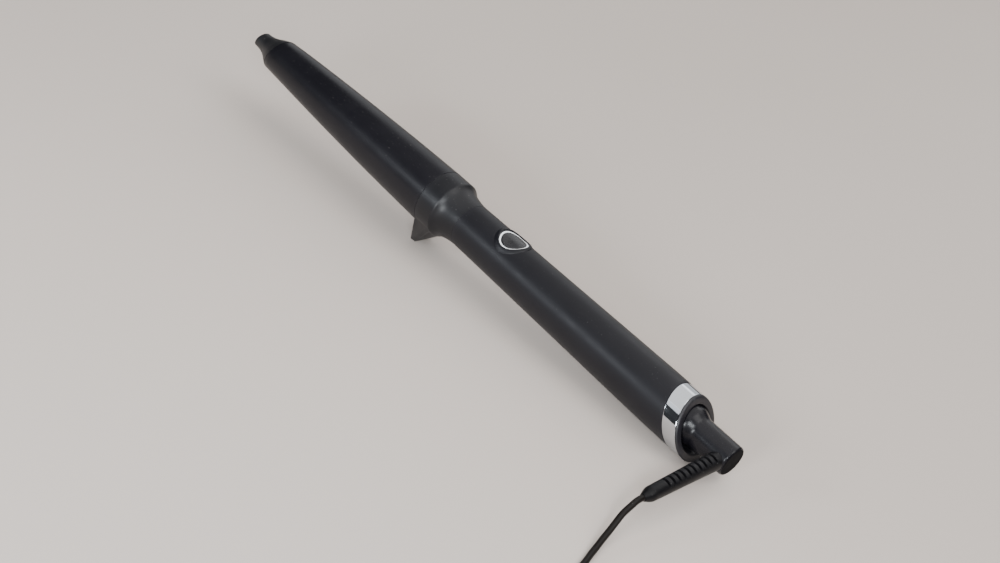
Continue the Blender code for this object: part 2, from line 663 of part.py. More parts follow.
def chrome_band(parent, material):
    """Slanted trim band between the sleeve and the end cap."""
    inner_radius = HANDLE_BUTT_RADIUS - BAND_WALL
    stations = [
        (BAND_START, inner_radius, BUTT_SLANT),
        (BAND_START, HANDLE_BUTT_RADIUS, BUTT_SLANT),
        (BAND_END, HANDLE_BUTT_RADIUS, BUTT_SLANT),
        (BAND_END, inner_radius, BUTT_SLANT),
    ]
    add_object("chrome_band", turned(stations, hollow=True), material, parent)


def end_cap(parent, material):
    """Cap that plugs into the sleeve through the band, with a slanted face and the swivel's socket."""
    plug_radius = HANDLE_BUTT_RADIUS - max(HANDLE_WALL, BAND_WALL) - GAP
    plug_bore = plug_radius - CAP_PLUG_WALL
    stations = [
        (CAP_PLUG_END, plug_bore, 0),
        (CAP_PLUG_END, plug_radius, 0),
        (BAND_START - CAP_PLUG_LENGTH / 3, plug_radius, 0),
        (BAND_END + GAP, plug_radius, BUTT_SLANT),
    ]
    stations += round_over(CAP_FACE, CAP_RADIUS, CAP_RIM_RADIUS, BUTT_SLANT, steps=3)
    stations += [
        (CAP_FACE, SOCKET_RADIUS, BUTT_SLANT),
        (SOCKET_FLOOR, SOCKET_RADIUS - SOCKET_TAPER, 0),
        (SOCKET_FLOOR, JOURNAL_RADIUS + GAP, 0),
        (CAP_FLOOR_INNER, JOURNAL_RADIUS + GAP, 0),
        (CAP_FLOOR_INNER, plug_bore, 0),
    ]
    add_object("end_cap", turned(stations, hollow=True), material, parent)


def swivel(parent, gloss, metal, brass):
    """Rotor in the end cap's socket: head, journal, clip and the two rotating contacts."""
    clip_x = CAP_FLOOR_INNER - GAP - CLIP_THICKNESS
    groove_radius = JOURNAL_RADIUS - CLIP_GROOVE_DEPTH
    ring_x = clip_x - GAP - CLIP_THICKNESS
    ring_seat_radius = JOURNAL_RADIUS - SLIP_RING_WALL - GAP
    stations = [
        (JOURNAL_END, ring_seat_radius, 0),
        (ring_x, ring_seat_radius, 0),
        (ring_x, JOURNAL_RADIUS, 0),
        (clip_x - GAP, JOURNAL_RADIUS, 0),
        (clip_x - GAP, groove_radius, 0),
        (CAP_FLOOR_INNER, groove_radius, 0),
        (CAP_FLOOR_INNER, JOURNAL_RADIUS, 0),
        (SWIVEL_START, JOURNAL_RADIUS, 0),
        (SWIVEL_START, SWIVEL_RADIUS, 0),
    ]
    stations += round_over(SWIVEL_END, SWIVEL_RADIUS, SWIVEL_RIM_RADIUS)
    head = add_object("swivel_head", turned(stations, hollow=False, segments=MIDDLE_SEGMENTS), gloss, parent)
    pocket_radius = RELIEF_PLUG_RADIUS + GAP
    pocket_floor = SWIVEL_RADIUS - RELIEF_PLUG_LENGTH - GAP
    pocket = turned([(pocket_floor, pocket_radius, 0), (SWIVEL_RADIUS + OVERRUN, pocket_radius, 0)],
                    hollow=False, segments=SMALL_SEGMENTS)
    combine(head, add_object("relief_pocket_guide", pocket, gloss, parent, relief_place()), "DIFFERENCE")
    clip = turned([
        (clip_x, groove_radius + GAP, 0),
        (clip_x, CLIP_RADIUS, 0),
        (clip_x + CLIP_THICKNESS, CLIP_RADIUS, 0),
        (clip_x + CLIP_THICKNESS, groove_radius + GAP, 0),
    ], hollow=True, segments=MIDDLE_SEGMENTS)
    add_object("swivel_clip", clip, metal, parent)
    slip_end = ring_x - GAP
    slip_ring = turned([
        (slip_end - SLIP_RING_LENGTH, ring_seat_radius + GAP, 0),
        (slip_end - SLIP_RING_LENGTH, JOURNAL_RADIUS, 0),
        (slip_end, JOURNAL_RADIUS, 0),
        (slip_end, ring_seat_radius + GAP, 0),
    ], hollow=True, segments=MIDDLE_SEGMENTS)
    add_object("slip_ring", slip_ring, brass, parent)
    pin_start = JOURNAL_END - GAP
    pin = turned([
        (pin_start - CENTRE_PIN_LENGTH, CENTRE_PIN_RADIUS, 0),
        (pin_start, CENTRE_PIN_RADIUS, 0),
    ], hollow=False, segments=SMALL_SEGMENTS)
    add_object("centre_contact", pin, brass, parent)


def brushes(parent, dark, brass, wire):
    """Fixed contact block in the sleeve, its two spring contacts and the leads to the board."""
    ring_x = CAP_FLOOR_INNER - 2 * GAP - 2 * CLIP_THICKNESS
    slip_middle = ring_x - GAP - SLIP_RING_LENGTH / 2
    pin_end = JOURNAL_END - GAP - CENTRE_PIN_LENGTH
    block_radius = handle_bore(BLOCK_START) - GAP
    block = turned([(BLOCK_START, block_radius, 0), (BLOCK_END, block_radius, 0)],
                   hollow=False, segments=MIDDLE_SEGMENTS)
    add_object("contact_block", block, dark, parent)
    brush_start = BLOCK_END + GAP
    ring_brush_end = slip_middle + SLIP_RING_LENGTH / 2
    ring_brush_size = (ring_brush_end - brush_start, BRUSH_WIDTH, BRUSH_THICKNESS)
    ring_brush_height = JOURNAL_RADIUS + GAP + BRUSH_THICKNESS / 2
    add_block("ring_brush", ring_brush_size,
              ((brush_start + ring_brush_end) / 2, 0, ring_brush_height), brass, parent)
    pin_brush_end = pin_end - GAP
    pin_brush_size = (pin_brush_end - brush_start, BRUSH_WIDTH, BRUSH_THICKNESS)
    add_block("centre_brush", pin_brush_size, ((brush_start + pin_brush_end) / 2, 0, 0), brass, parent)
    lead_y = BOARD_HALF_WIDTH / 2
    lead_height = GAP + MAINS_LEAD_RADIUS
    for name, side in (("mains_lead_left", 1), ("mains_lead_right", -1)):
        points = [
            (TRAY_END + GAP, side * lead_y, lead_height),
            ((TRAY_END + BLOCK_START) / 2, side * lead_y * 1.15, lead_height * 1.3),
            (BLOCK_START - GAP, side * lead_y, lead_height),
        ]
        add_tube(name, smooth_route(points, MAINS_LEAD_RADIUS * 4), MAINS_LEAD_RADIUS, wire, parent, 1)


def relief_place():
    """Frame of the strain relief: its X axis leaves the swivel sideways, a little below level."""
    aside = Matrix.Rotation(-math.pi / 2, 4, "Z")
    dip = Matrix.Rotation(RELIEF_DIP, 4, "X")
    return Matrix.Translation((RELIEF_X, 0, 0)) @ dip @ aside


def strain_relief(parent, material):
    """Soft sleeve that tapers from the swivel to the cord, slotted above and below between side rails."""
    root = SWIVEL_RADIUS / 2
    end = SWIVEL_RADIUS + GAP + RELIEF_LENGTH
    cone_start = end - RELIEF_END_ROUNDING
    stations = [(root, RELIEF_START_RADIUS, 0), (cone_start, RELIEF_END_RADIUS, 0)]
    for along_share, drop_share in ((0.2, 0.06), (0.45, 0.28), (0.75, 0.68)):
        drop = (RELIEF_END_RADIUS - CORD_RADIUS - GAP) * drop_share
        stations.append((cone_start + RELIEF_END_ROUNDING * along_share, RELIEF_END_RADIUS - drop, 0))
    stations.append((end, CORD_RADIUS + GAP, 0))
    place = relief_place()
    relief = add_object("strain_relief", turned(stations, hollow=False, segments=SMALL_SEGMENTS), material,
                        parent, place)
    slots = bmesh.new()
    room = RELIEF_START_RADIUS * 2
    for slot in range(RELIEF_SLOTS):
        x = RELIEF_SLOT_OFFSET + RELIEF_SLOT_PITCH * slot
        share = (x - root) / (cone_start - root)
        radius = RELIEF_START_RADIUS + (RELIEF_END_RADIUS - RELIEF_START_RADIUS) * share
        for side in (-1, 1):
            height = side * (radius - RELIEF_SLOT_DEPTH + room / 2)
            size = Matrix.Diagonal((RELIEF_SLOT_WIDTH, room, room, 1))
            bmesh.ops.create_cube(slots, size=1, matrix=Matrix.Translation((x, 0, height)) @ size)
    combine(relief, add_object("relief_slots_guide", slots, material, parent, place), "DIFFERENCE")
    clear_radius = SWIVEL_RADIUS + GAP
    room_start = RELIEF_X - RELIEF_START_RADIUS - OVERRUN
    room_end = RELIEF_X + RELIEF_START_RADIUS + OVERRUN
    swivel_room = turned([(room_start, clear_radius, 0), (room_end, clear_radius, 0)],
                         hollow=False, segments=MIDDLE_SEGMENTS)
    combine(relief, add_object("swivel_room_guide", swivel_room, material, parent), "DIFFERENCE")
    peg_start = SWIVEL_RADIUS - RELIEF_PLUG_LENGTH
    peg_end = RELIEF_SLOT_OFFSET - RELIEF_SLOT_WIDTH
    peg = turned([(peg_start, RELIEF_PLUG_RADIUS, 0), (peg_end, RELIEF_PLUG_RADIUS, 0)],
                 hollow=False, segments=SMALL_SEGMENTS)
    combine(relief, add_object("relief_peg_guide", peg, material, parent, place), "UNION")


def coil_points():
    """Turns that spiral in and out in layers and climb a layer in the half turn where they reverse."""
    steps = COIL_TURNS_PER_LAYER * COIL_POINTS_PER_TURN
    spiral_steps = steps - COIL_POINTS_PER_TURN // 2
    spiral_room = COIL_PITCH * spiral_steps / COIL_POINTS_PER_TURN
    outer = COIL_MIDDLE_RADIUS + spiral_room / 2
    floor_height = TIE_THICKNESS + GAP + CORD_RADIUS
    points = []
    for layer in range(COIL_LAYERS):
        last_layer = layer == COIL_LAYERS - 1
        for step in range(spiral_steps + 1 if last_layer else steps):
            inward = min(1.0, step / spiral_steps)
            climb = max(0.0, (step - spiral_steps) / (steps - spiral_steps))
            inward += COIL_SWING_SHARE * math.sin(math.pi * climb)
            if layer % 2:
                inward = 1 - inward
            radius = outer - spiral_room * inward
            angle = COIL_START_ANGLE + 2 * math.pi * (layer * steps + step) / COIL_POINTS_PER_TURN
            height = floor_height + COIL_PITCH * (layer + 0.5 - 0.5 * math.cos(math.pi * climb))
            points.append(Vector((
                COIL_CENTRE[0] + radius * math.cos(angle),
                COIL_CENTRE[1] + radius * math.sin(angle),
                height,
            )))
    return straighten_ends(points)


def straighten_ends(points):
    """Run both ends on for one diameter, in line with their last step."""
    first = points[0] + (points[0] - points[1]).normalized() * 2 * CORD_RADIUS
    last = points[-1] + (points[-1] - points[-2]).normalized() * 2 * CORD_RADIUS
    return [first] + points + [last]


def least_self_gap(points):
    """Least distance between the coil's surfaces, leaving out neighbours along the cord."""
    skip = COIL_POINTS_PER_TURN // 2
    least = math.inf
    for index, point in enumerate(points):
        for other in points[index + skip:]:
            least = min(least, (point - other).length - 2 * CORD_RADIUS)
    return least


def cord(material, relief_end, relief_heading, plug_end, plug_heading):
    """The cord from the strain relief to the coil, the coil, and its tail to the plug."""
    turns = coil_points()
    coil_heading = (turns[1] - turns[0]).normalized()
    tail_heading = (turns[-1] - turns[-2]).normalized()
    diameter = 2 * CORD_RADIUS
    lead_in = [
        relief_end + relief_heading * GAP,
        relief_end + relief_heading * diameter,
        *CORD_ROUTE,
        turns[0] - coil_heading * diameter,
        turns[0] - coil_heading * GAP,
    ]
    tail = [
        turns[-1] + tail_heading * GAP,
        turns[-1] + tail_heading * diameter,
        *TAIL_ROUTE,
        plug_end - plug_heading * diameter,
        plug_end - plug_heading * GAP,
    ]
    free_points = smooth_route(lead_in, CORD_POINT_STEP)
    tail_points = smooth_route(tail, CORD_POINT_STEP)
    add_tube("cord_free", free_points, CORD_RADIUS, material)
    add_tube("cord_coil", turns, CORD_RADIUS, material, resolution=1)
    add_tube("cord_tail", tail_points, CORD_RADIUS, material)
    lengths = [route_length(points) for points in (free_points, turns, tail_points)]
    print("cord lengths:", [round(length, 4) for length in lengths], "in all", round(sum(lengths), 4))
    print("least gap in the coil:", round(least_self_gap(turns), 5))


def coil_tie(material):
    """Flat tie round the bundle of turns, which rests on it."""
    inner_length = COIL_PITCH * (COIL_TURNS_PER_LAYER - 1) + 2 * (CORD_RADIUS + TIE_EASE)
    inner_height = COIL_PITCH * (COIL_LAYERS - 1) + 2 * (CORD_RADIUS + GAP)
    bm = bmesh.new()
    both_walls = 2 * TIE_THICKNESS
    sizes = ((inner_length, inner_height), (inner_length + both_walls, inner_height + both_walls))
    loops = []
    for length, height in sizes:
        made = bmesh.ops.create_grid(bm, x_segments=1, y_segments=1, size=0.5,
                                     matrix=Matrix.Diagonal((length, height, 1, 1)))
        face = made["verts"][0].link_faces[0]
        loops += list(face.edges)
        bmesh.ops.delete(bm, geom=[face], context="FACES_ONLY")
    bmesh.ops.bridge_loops(bm, edges=loops)
    made = bmesh.ops.extrude_face_region(bm, geom=bm.faces[:])["geom"]
    verts = [part for part in made if isinstance(part, bmesh.types.BMVert)]
    bmesh.ops.translate(bm, verts=verts, vec=(0, 0, TIE_WIDTH))
    bmesh.ops.translate(bm, verts=bm.verts, vec=(0, 0, -TIE_WIDTH / 2))
    middle = (
        COIL_CENTRE[0] + COIL_MIDDLE_RADIUS * math.cos(TIE_ANGLE),
        COIL_CENTRE[1] + COIL_MIDDLE_RADIUS * math.sin(TIE_ANGLE),
        TIE_THICKNESS + inner_height / 2,
    )
    place = (Matrix.Translation(middle) @ Matrix.Rotation(TIE_ANGLE, 4, "Z")
             @ Matrix.Rotation(math.pi / 2, 4, "X"))
    add_object("coil_tie", bm, material, None, place)


def plug(place, material, metal, dark):
    """Flat two-pin plug with a tapered neck, part-sleeved pins and its own short strain relief."""
    bm = bmesh.new()
    half = PLUG_WIDTH / 2
    neck = half * PLUG_NECK_SHARE
    flare = PLUG_LENGTH * PLUG_FLARE_SHARE
    left = ((0, -neck), (flare, -half), (PLUG_LENGTH, -half))
    right = ((PLUG_LENGTH, half), (flare, half), (0, neck))
    outline = left + right
    verts = [bmesh.ops.create_vert(bm, co=(x, y, 0))["vert"][0] for x, y in outline]
    bmesh.ops.contextual_create(bm, geom=verts)
    made = bmesh.ops.extrude_face_region(bm, geom=bm.faces[:])["geom"]
    raised = [part for part in made if isinstance(part, bmesh.types.BMVert)]
    bmesh.ops.translate(bm, verts=raised, vec=(0, 0, PLUG_THICKNESS))
    bmesh.ops.translate(bm, verts=bm.verts, vec=(0, 0, -PLUG_THICKNESS / 2))
    soften(add_object("plug_body", bm, material, None, place), PLUG_EDGE_RADIUS)
    pin_start = PLUG_LENGTH + GAP
    sleeve_end = pin_start + PIN_LENGTH * PIN_SLEEVE_SHARE
    for name, side in (("plug_pin_left", 1), ("plug_pin_right", -1)):
        pin = turned([
            (pin_start, PIN_RADIUS - PIN_SLEEVE_DEPTH, 0),
            (sleeve_end, PIN_RADIUS - PIN_SLEEVE_DEPTH, 0),
            (sleeve_end, PIN_RADIUS, 0),
            *round_over(pin_start + PIN_LENGTH, PIN_RADIUS, PIN_RADIUS / 2, steps=2),
        ], hollow=False, segments=SMALL_SEGMENTS)
        add_object(name, pin, metal, None, place @ Matrix.Translation((0, side * PIN_SPACING / 2, 0)))
    stations = [(-GAP, PLUG_RELIEF_RADIUS, 0)]
    pitch = (PLUG_RELIEF_LENGTH - GAP) / (PLUG_RELIEF_RIBS + 0.5)
    for rib in range(PLUG_RELIEF_RIBS):
        for along_share, groove in ((0.35, 0), (0.45, 1), (0.9, 1), (1.0, 0)):
            x = -GAP - pitch * (rib + along_share)
            share = -x / PLUG_RELIEF_LENGTH
            radius = PLUG_RELIEF_RADIUS + (CORD_RADIUS + GAP - PLUG_RELIEF_RADIUS) * share
            stations.append((x, radius - groove * PLUG_RELIEF_RIB_DEPTH * (1 - share), 0))
    stations.append((-PLUG_RELIEF_LENGTH, CORD_RADIUS, 0))
    add_object("plug_relief", turned(stations, hollow=False, segments=SMALL_SEGMENTS), dark, None, place)


# The cord's routes on the table, in world coordinates: out of the relief to the coil, and on to the plug
CORD_ROUTE = (
    (0.1660, -0.0600, 0.0103),
    (0.1666, -0.0652, 0.0088),
    (0.1675, -0.0694, 0.0069),
    (0.1684, -0.0732, 0.0052),
    (0.1694, -0.0775, 0.0038),
    (0.1706, -0.0818, 0.0027),
    (0.1719, -0.0864, 0.0019),
    (0.1735, -0.0912, 0.00145),
    (0.1757, -0.1000, 0.0014),
    (0.1769, -0.1095, 0.0014),
    (0.1768, -0.1195, 0.0014),
    (0.1760, -0.1295, 0.0015),
    (0.1760, -0.1385, 0.0019),
)
TAIL_ROUTE = (
    (0.2191, -0.1252, 0.0121),
    (0.2191, -0.1204, 0.0108),
    (0.2208, -0.1158, 0.0090),
    (0.2227, -0.1125, 0.0076),
)
PLUG_ENTRY = (0.2253, -0.1080)


def build():
    """Make every piece, the wand's in its own tilted frame."""
    clear_scene()
    soft_black = make_material("Soft-touch black", (0.020, 0.019, 0.024), 0.55)
    satin_black = make_material("Satin black coat", (0.016, 0.015, 0.020), 0.38)
    moulded_black = make_material("Moulded black", (0.014, 0.014, 0.016), 0.45)
    gloss_black = make_material("Gloss black", (0.006, 0.006, 0.007), 0.12)
    cord_black = make_material("Cord black", (0.012, 0.011, 0.011), 0.5)
    chrome = make_material("Chrome", (0.82, 0.83, 0.85), 0.08, 1.0)
    white_light = make_material("White light ring", (0.93, 0.94, 0.95), 0.3)
    aluminium = make_material("Aluminium", (0.78, 0.78, 0.8), 0.35, 1.0)
    ceramic = make_material("Ceramic", (0.86, 0.85, 0.8), 0.6)
    brass = make_material("Brass", (0.78, 0.58, 0.25), 0.3, 1.0)
    steel = make_material("Steel", (0.62, 0.62, 0.64), 0.3, 1.0)
    board_green = make_material("Circuit board", (0.02, 0.16, 0.07), 0.45)
    lead_white = make_material("Lead insulation", (0.75, 0.73, 0.7), 0.5)
    capacitor_blue = make_material("Capacitor blue", (0.05, 0.12, 0.35), 0.4)

    wand = bpy.data.objects.new("wand_frame", None)
    bpy.context.collection.objects.link(wand)
    near_radius = COOL_TIP_NECK_RADIUS - COOL_TIP_END_ROUNDING
    far_radius = SWIVEL_RADIUS - SWIVEL_RIM_RADIUS
    near_x = COOL_TIP_END * math.cos(TILT) - near_radius * math.sin(TILT)
    far_x = SWIVEL_END * math.cos(TILT) + far_radius * math.sin(TILT)
    rest_height = CAP_RADIUS * math.cos(TILT) + CAP_CONTACT_X * math.sin(TILT)
    rest = Matrix.Translation((-(near_x + far_x) / 2, 0, rest_height)) @ Matrix.Rotation(TILT, 4, "Y")
    wand.matrix_local = rest

    barrel(wand, satin_black)
    cool_tip(wand, moulded_black)
    heater(wand, aluminium, ceramic, lead_white, lead_white)
    stand_collar(wand, moulded_black, ceramic)
    handle_sleeve(wand, soft_black)
    power_button(wand, gloss_black, white_light)
    board_and_parts(wand, moulded_black, board_green, gloss_black, steel, capacitor_blue)
    chrome_band(wand, chrome)
    end_cap(wand, moulded_black)
    swivel(wand, gloss_black, steel, brass)
    brushes(wand, moulded_black, brass, lead_white)
    strain_relief(wand, cord_black)
    relief_frame = rest @ relief_place()
    relief_end = relief_frame @ Vector((SWIVEL_RADIUS + GAP + RELIEF_LENGTH, 0, 0))
    relief_heading = relief_frame.to_3x3() @ Vector((1, 0, 0))
    plug_end = Vector((*PLUG_ENTRY, PLUG_THICKNESS / 2))
    plug_heading = Vector((math.cos(PLUG_HEADING), math.sin(PLUG_HEADING), 0))
    plug_seat = Matrix.Translation(plug_end + plug_heading * PLUG_RELIEF_LENGTH)
    cord(cord_black, relief_end, relief_heading, plug_end, plug_heading)
    coil_tie(moulded_black)
    plug(plug_seat @ Matrix.Rotation(PLUG_HEADING, 4, "Z"), moulded_black, steel, cord_black)


build()
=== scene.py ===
import math

import bpy
from mathutils import Matrix, Vector


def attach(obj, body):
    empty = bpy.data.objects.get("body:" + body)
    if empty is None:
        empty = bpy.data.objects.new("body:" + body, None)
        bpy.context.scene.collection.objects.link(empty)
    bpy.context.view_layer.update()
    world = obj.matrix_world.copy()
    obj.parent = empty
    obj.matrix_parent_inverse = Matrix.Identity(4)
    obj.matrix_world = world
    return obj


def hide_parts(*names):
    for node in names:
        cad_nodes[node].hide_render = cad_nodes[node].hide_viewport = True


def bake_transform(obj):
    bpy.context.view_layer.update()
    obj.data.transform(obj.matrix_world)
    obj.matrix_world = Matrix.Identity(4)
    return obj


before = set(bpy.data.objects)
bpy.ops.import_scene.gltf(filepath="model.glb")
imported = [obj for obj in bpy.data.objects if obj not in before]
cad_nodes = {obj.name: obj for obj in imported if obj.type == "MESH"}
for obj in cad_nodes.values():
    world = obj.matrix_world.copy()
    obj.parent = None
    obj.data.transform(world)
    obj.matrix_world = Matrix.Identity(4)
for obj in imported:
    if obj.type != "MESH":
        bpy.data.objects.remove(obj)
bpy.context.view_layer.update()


# Camera
# It looks down on the wand from the swivel's side, over the near edge of the table, through a 54 mm
# lens on a full-frame sensor.
camera_data = bpy.data.cameras.new("camera")
camera_data.lens = 54
camera_data.sensor_width = 36
camera_data.sensor_fit = "HORIZONTAL"
camera_data.clip_start = 0.02
camera = bpy.data.objects.new("camera", camera_data)
bpy.context.scene.collection.objects.link(camera)
camera.matrix_world = Matrix((
    (0.66669, -0.53498, 0.51897, 0.388128),
    (0.70257, 0.21859, -0.67721, -0.471940),
    (0.24884, 0.81610, 0.52159, 0.373239),
    (0.0, 0.0, 0.0, 1.0),
))
bpy.context.scene.camera = camera


# Table top
# The wand lies on a plain pale table top: a matt board that runs far past the picture's edges.
# Its paint has a faint roller texture and tones that drift slowly from place to place.
table_width = 6.0
paint_deep = (0.575, 0.508, 0.458)
paint_pale = (0.620, 0.552, 0.502)
bpy.ops.mesh.primitive_plane_add(size=table_width, location=(0.0, 0.0, 0.0))
table_top = bpy.context.object
table_top.name = "table_top"
table_paint = bpy.data.materials.new("table_paint")
table_paint.use_nodes = True
paint_tree = table_paint.node_tree


def set_socket(socket, value):
    """Give an input a value, or wire another node's socket to it."""
    if isinstance(value, bpy.types.NodeSocket):
        socket.id_data.links.new(value, socket)
    else:
        socket.default_value = value


def set_node(node, **settings):
    """Set a node's inputs and properties by name, with an underscore for each space."""
    for name, value in settings.items():
        socket = node.inputs.get(name.replace("_", " "))
        if socket is None:
            setattr(node, name, value)
        else:
            set_socket(socket, value)
    return node


def add_node(tree, kind, output=None, **settings):
    """Put a shader node into a tree and set it. Gives the node, or the output that is named."""
    node = set_node(tree.nodes.new("ShaderNode" + kind), **settings)
    return node.outputs[output] if output else node


def ramp_value(tree, source, low, high, to_low=0.0, to_high=1.0):
    """Stretch the part of a value between low and high over a new range."""
    return add_node(tree, "MapRange", "Result", Value=source, From_Min=low, From_Max=high, To_Min=to_low,
                    To_Max=to_high)


def mix_colours(tree, mask, first, second):
    """Blend two colours by a mask. Each is a plain colour or a socket. Gives the blend's socket."""
    blend = add_node(tree, "Mix", data_type="RGBA", Factor=mask)
    for letter, colour in (("A", first), ("B", second)):
        socket = [item for item in blend.inputs if item.name == letter and item.type == "RGBA"][0]
        set_socket(socket, (*colour, 1.0) if isinstance(colour, tuple) else colour)
    return [item for item in blend.outputs if item.type == "RGBA"][0]


table_place = add_node(paint_tree, "TexCoord", "Object")
drift = add_node(paint_tree, "TexNoise", "Fac", Vector=table_place, Scale=1.4, Detail=2.0)
roller = add_node(paint_tree, "TexNoise", "Fac", Vector=table_place, Scale=420.0, Detail=3.0)
paint_tone = ramp_value(paint_tree, drift, 0.35, 0.65)
paint_bump = add_node(paint_tree, "Bump", "Normal", Strength=0.15, Distance=0.0002, Height=roller)
set_node(paint_tree.nodes["Principled BSDF"],
         Base_Color=mix_colours(paint_tree, paint_tone, paint_deep, paint_pale),
         Roughness=ramp_value(paint_tree, roller, 0.3, 0.7, 0.62, 0.74),
         Normal=paint_bump, Specular_IOR_Level=0.25)
table_top.data.materials.append(table_paint)


# Studio light
# A dim room with soft boxes: large ones overhead, beyond the barrel and past the swivel, small ones
# that light the waist and the swivel's flare, one that draws the soft streak along the handle, and one
# that whitens the chrome band.
room = bpy.data.worlds.new("room")
bpy.context.scene.world = room
room.use_nodes = True
warm_white = (1.0, 0.985, 0.97)
cool_white = (0.93, 0.97, 1.0)
set_node(room.node_tree.nodes["Background"], Color=(0.90, 0.94, 1.0, 1.0), Strength=0.07)


def add_soft_box(name, place, aim, size, power, colour):
    """A rectangular soft box at a place, turned to what it lights. Its width runs level."""
    data = bpy.data.lights.new(name, "AREA")
    data.shape = "RECTANGLE"
    data.size, data.size_y = size
    data.energy = power
    data.color = colour
    box = bpy.data.objects.new(name, data)
    bpy.context.scene.collection.objects.link(box)
    box.location = place
    box.rotation_euler = (Vector(aim) - Vector(place)).to_track_quat("-Z", "Y").to_euler()


add_soft_box("overhead_box", place=(0.10, 0.85, 1.60), aim=(0.10, 0.8499, 0.0),
             size=(1.9, 4.1), power=40.0, colour=warm_white)
add_soft_box("far_box", place=(-1.05, 1.85, 1.00), aim=(-0.05, 0.0, 0.0),
             size=(2.2, 1.5), power=11.0, colour=(0.97, 0.98, 1.0))
add_soft_box("fill_box", place=(1.30, 0.25, 1.45), aim=(0.10, 0.0, 0.0),
             size=(1.2, 1.2), power=17.0, colour=warm_white)
add_soft_box("waist_box", place=(0.32, -1.10, 0.38), aim=(0.01, 0.0, 0.03),
             size=(0.28, 0.28), power=10.0, colour=cool_white)
add_soft_box("swivel_box", place=(0.92, -0.88, 0.68), aim=(0.165, 0.0, 0.015),
             size=(0.28, 0.34), power=12.0, colour=cool_white)
add_soft_box("streak_box", place=(-0.46, -0.95, 0.40), aim=(0.10, 0.0, 0.02),
             size=(0.24, 0.18), power=4.0, colour=(0.88, 0.94, 1.0))
add_soft_box("band_box", place=(-0.242, -0.868, 0.90), aim=(0.145, 0.0, 0.015),
             size=(0.32, 0.32), power=0.56, colour=(0.96, 0.98, 1.0))


# Mains cord
# Two-core cord with a round black plastic jacket, 2.8 mm thick and 1.80 m long. It leaves the strain
# relief level, drops to the table, runs to a neat coil held by a tie, and goes on to its plug.
clearance = 0.0003
cord_radius = 0.0014
wand_tilt = 0.07133016
wand_place = Matrix.Translation((-0.0229223, 0.0, 0.025791)) @ Matrix.Rotation(wand_tilt, 4, "Y")
swivel_radius = 0.00726
relief_x = 0.1891
relief_dip = math.radians(1.1)
relief_length = 0.0454
relief_place = (Matrix.Translation((relief_x, 0.0, 0.0)) @ Matrix.Rotation(relief_dip, 4, "X")
                @ Matrix.Rotation(-math.pi / 2, 4, "Z"))
relief_world = wand_place @ relief_place
cord_exit = relief_world @ Vector((swivel_radius + clearance + relief_length, 0.0, 0.0))
cord_heading = relief_world.to_3x3() @ Vector((1.0, 0.0, 0.0))
bend_end = (0.1769, -0.1095, 0.0014)
coil_centre = (0.2005, -0.1410)
coil_radius = 0.0174
coil_pitch = 0.00325
coil_layers = 4
coil_turns = 4
coil_start = math.radians(205)
climb_bulge = 0.08
tie_wall = 0.0008
plug_entry = Vector((0.2253, -0.1080, 0.00685))
plug_turn = math.radians(60)
plug_heading = Vector((math.cos(plug_turn), math.sin(plug_turn), 0.0))


def coil_route(points_per_turn):
    """Layers of turns that spiral in and out, and climb in the half turn between layers."""
    steps = coil_turns * points_per_turn
    spiral_steps = steps - points_per_turn // 2
    spiral_room = coil_pitch * spiral_steps / points_per_turn
    route = []
    for layer in range(coil_layers):
        for step in range(spiral_steps + 1 if layer == coil_layers - 1 else steps):
            climb = max(0.0, (step - spiral_steps) / (steps - spiral_steps))
            inward = min(1.0, step / spiral_steps) + climb_bulge * math.sin(math.pi * climb)
            if layer % 2:
                inward = 1 - inward
            radius = coil_radius + spiral_room * (0.5 - inward)
            angle = coil_start + 2 * math.pi * (layer * steps + step) / points_per_turn
            height = tie_wall + clearance + cord_radius
            height += coil_pitch * (layer + 0.5 - 0.5 * math.cos(math.pi * climb))
            route.append(Vector((coil_centre[0] + radius * math.cos(angle),
                                 coil_centre[1] + radius * math.sin(angle), height)))
    return route


def smooth_route(points, step, parts=24):
    """Points at an even step along a smooth curve through the route's own points."""
    route = [Vector(point) for point in points]
    spans = [(after - before).length for before, after in zip(route, route[1:])]
    slopes = [(after - before) / span for before, after, span in zip(route, route[1:], spans)]
    turns = [slopes[0]]
    for slope_in, slope_out, span_in, span_out in zip(slopes, slopes[1:], spans, spans[1:]):
        turns.append((slope_in * span_out + slope_out * span_in) / (span_in + span_out))
    turns.append(slopes[-1])
    fine = []
    for before, after, turn_in, turn_out, span in zip(route, route[1:], turns, turns[1:], spans):
        for part in range(parts):
            t = part / parts
            rise = t * t * (3 - 2 * t)
            fine.append(before.lerp(after, rise) + turn_in * t * (1 - t) ** 2 * span
                        - turn_out * t * t * (1 - t) * span)
    fine.append(route[-1])
    length = sum((after - before).length for before, after in zip(fine, fine[1:]))
    count = max(2, round(length / step))
    spaced = [fine[0]]
    travelled = 0.0
    for before, after in zip(fine, fine[1:]):
        travelled += (after - before).length
        if travelled >= len(spaced) * length / count and len(spaced) < count:
            spaced.append(after)
    return spaced + [fine[-1]]


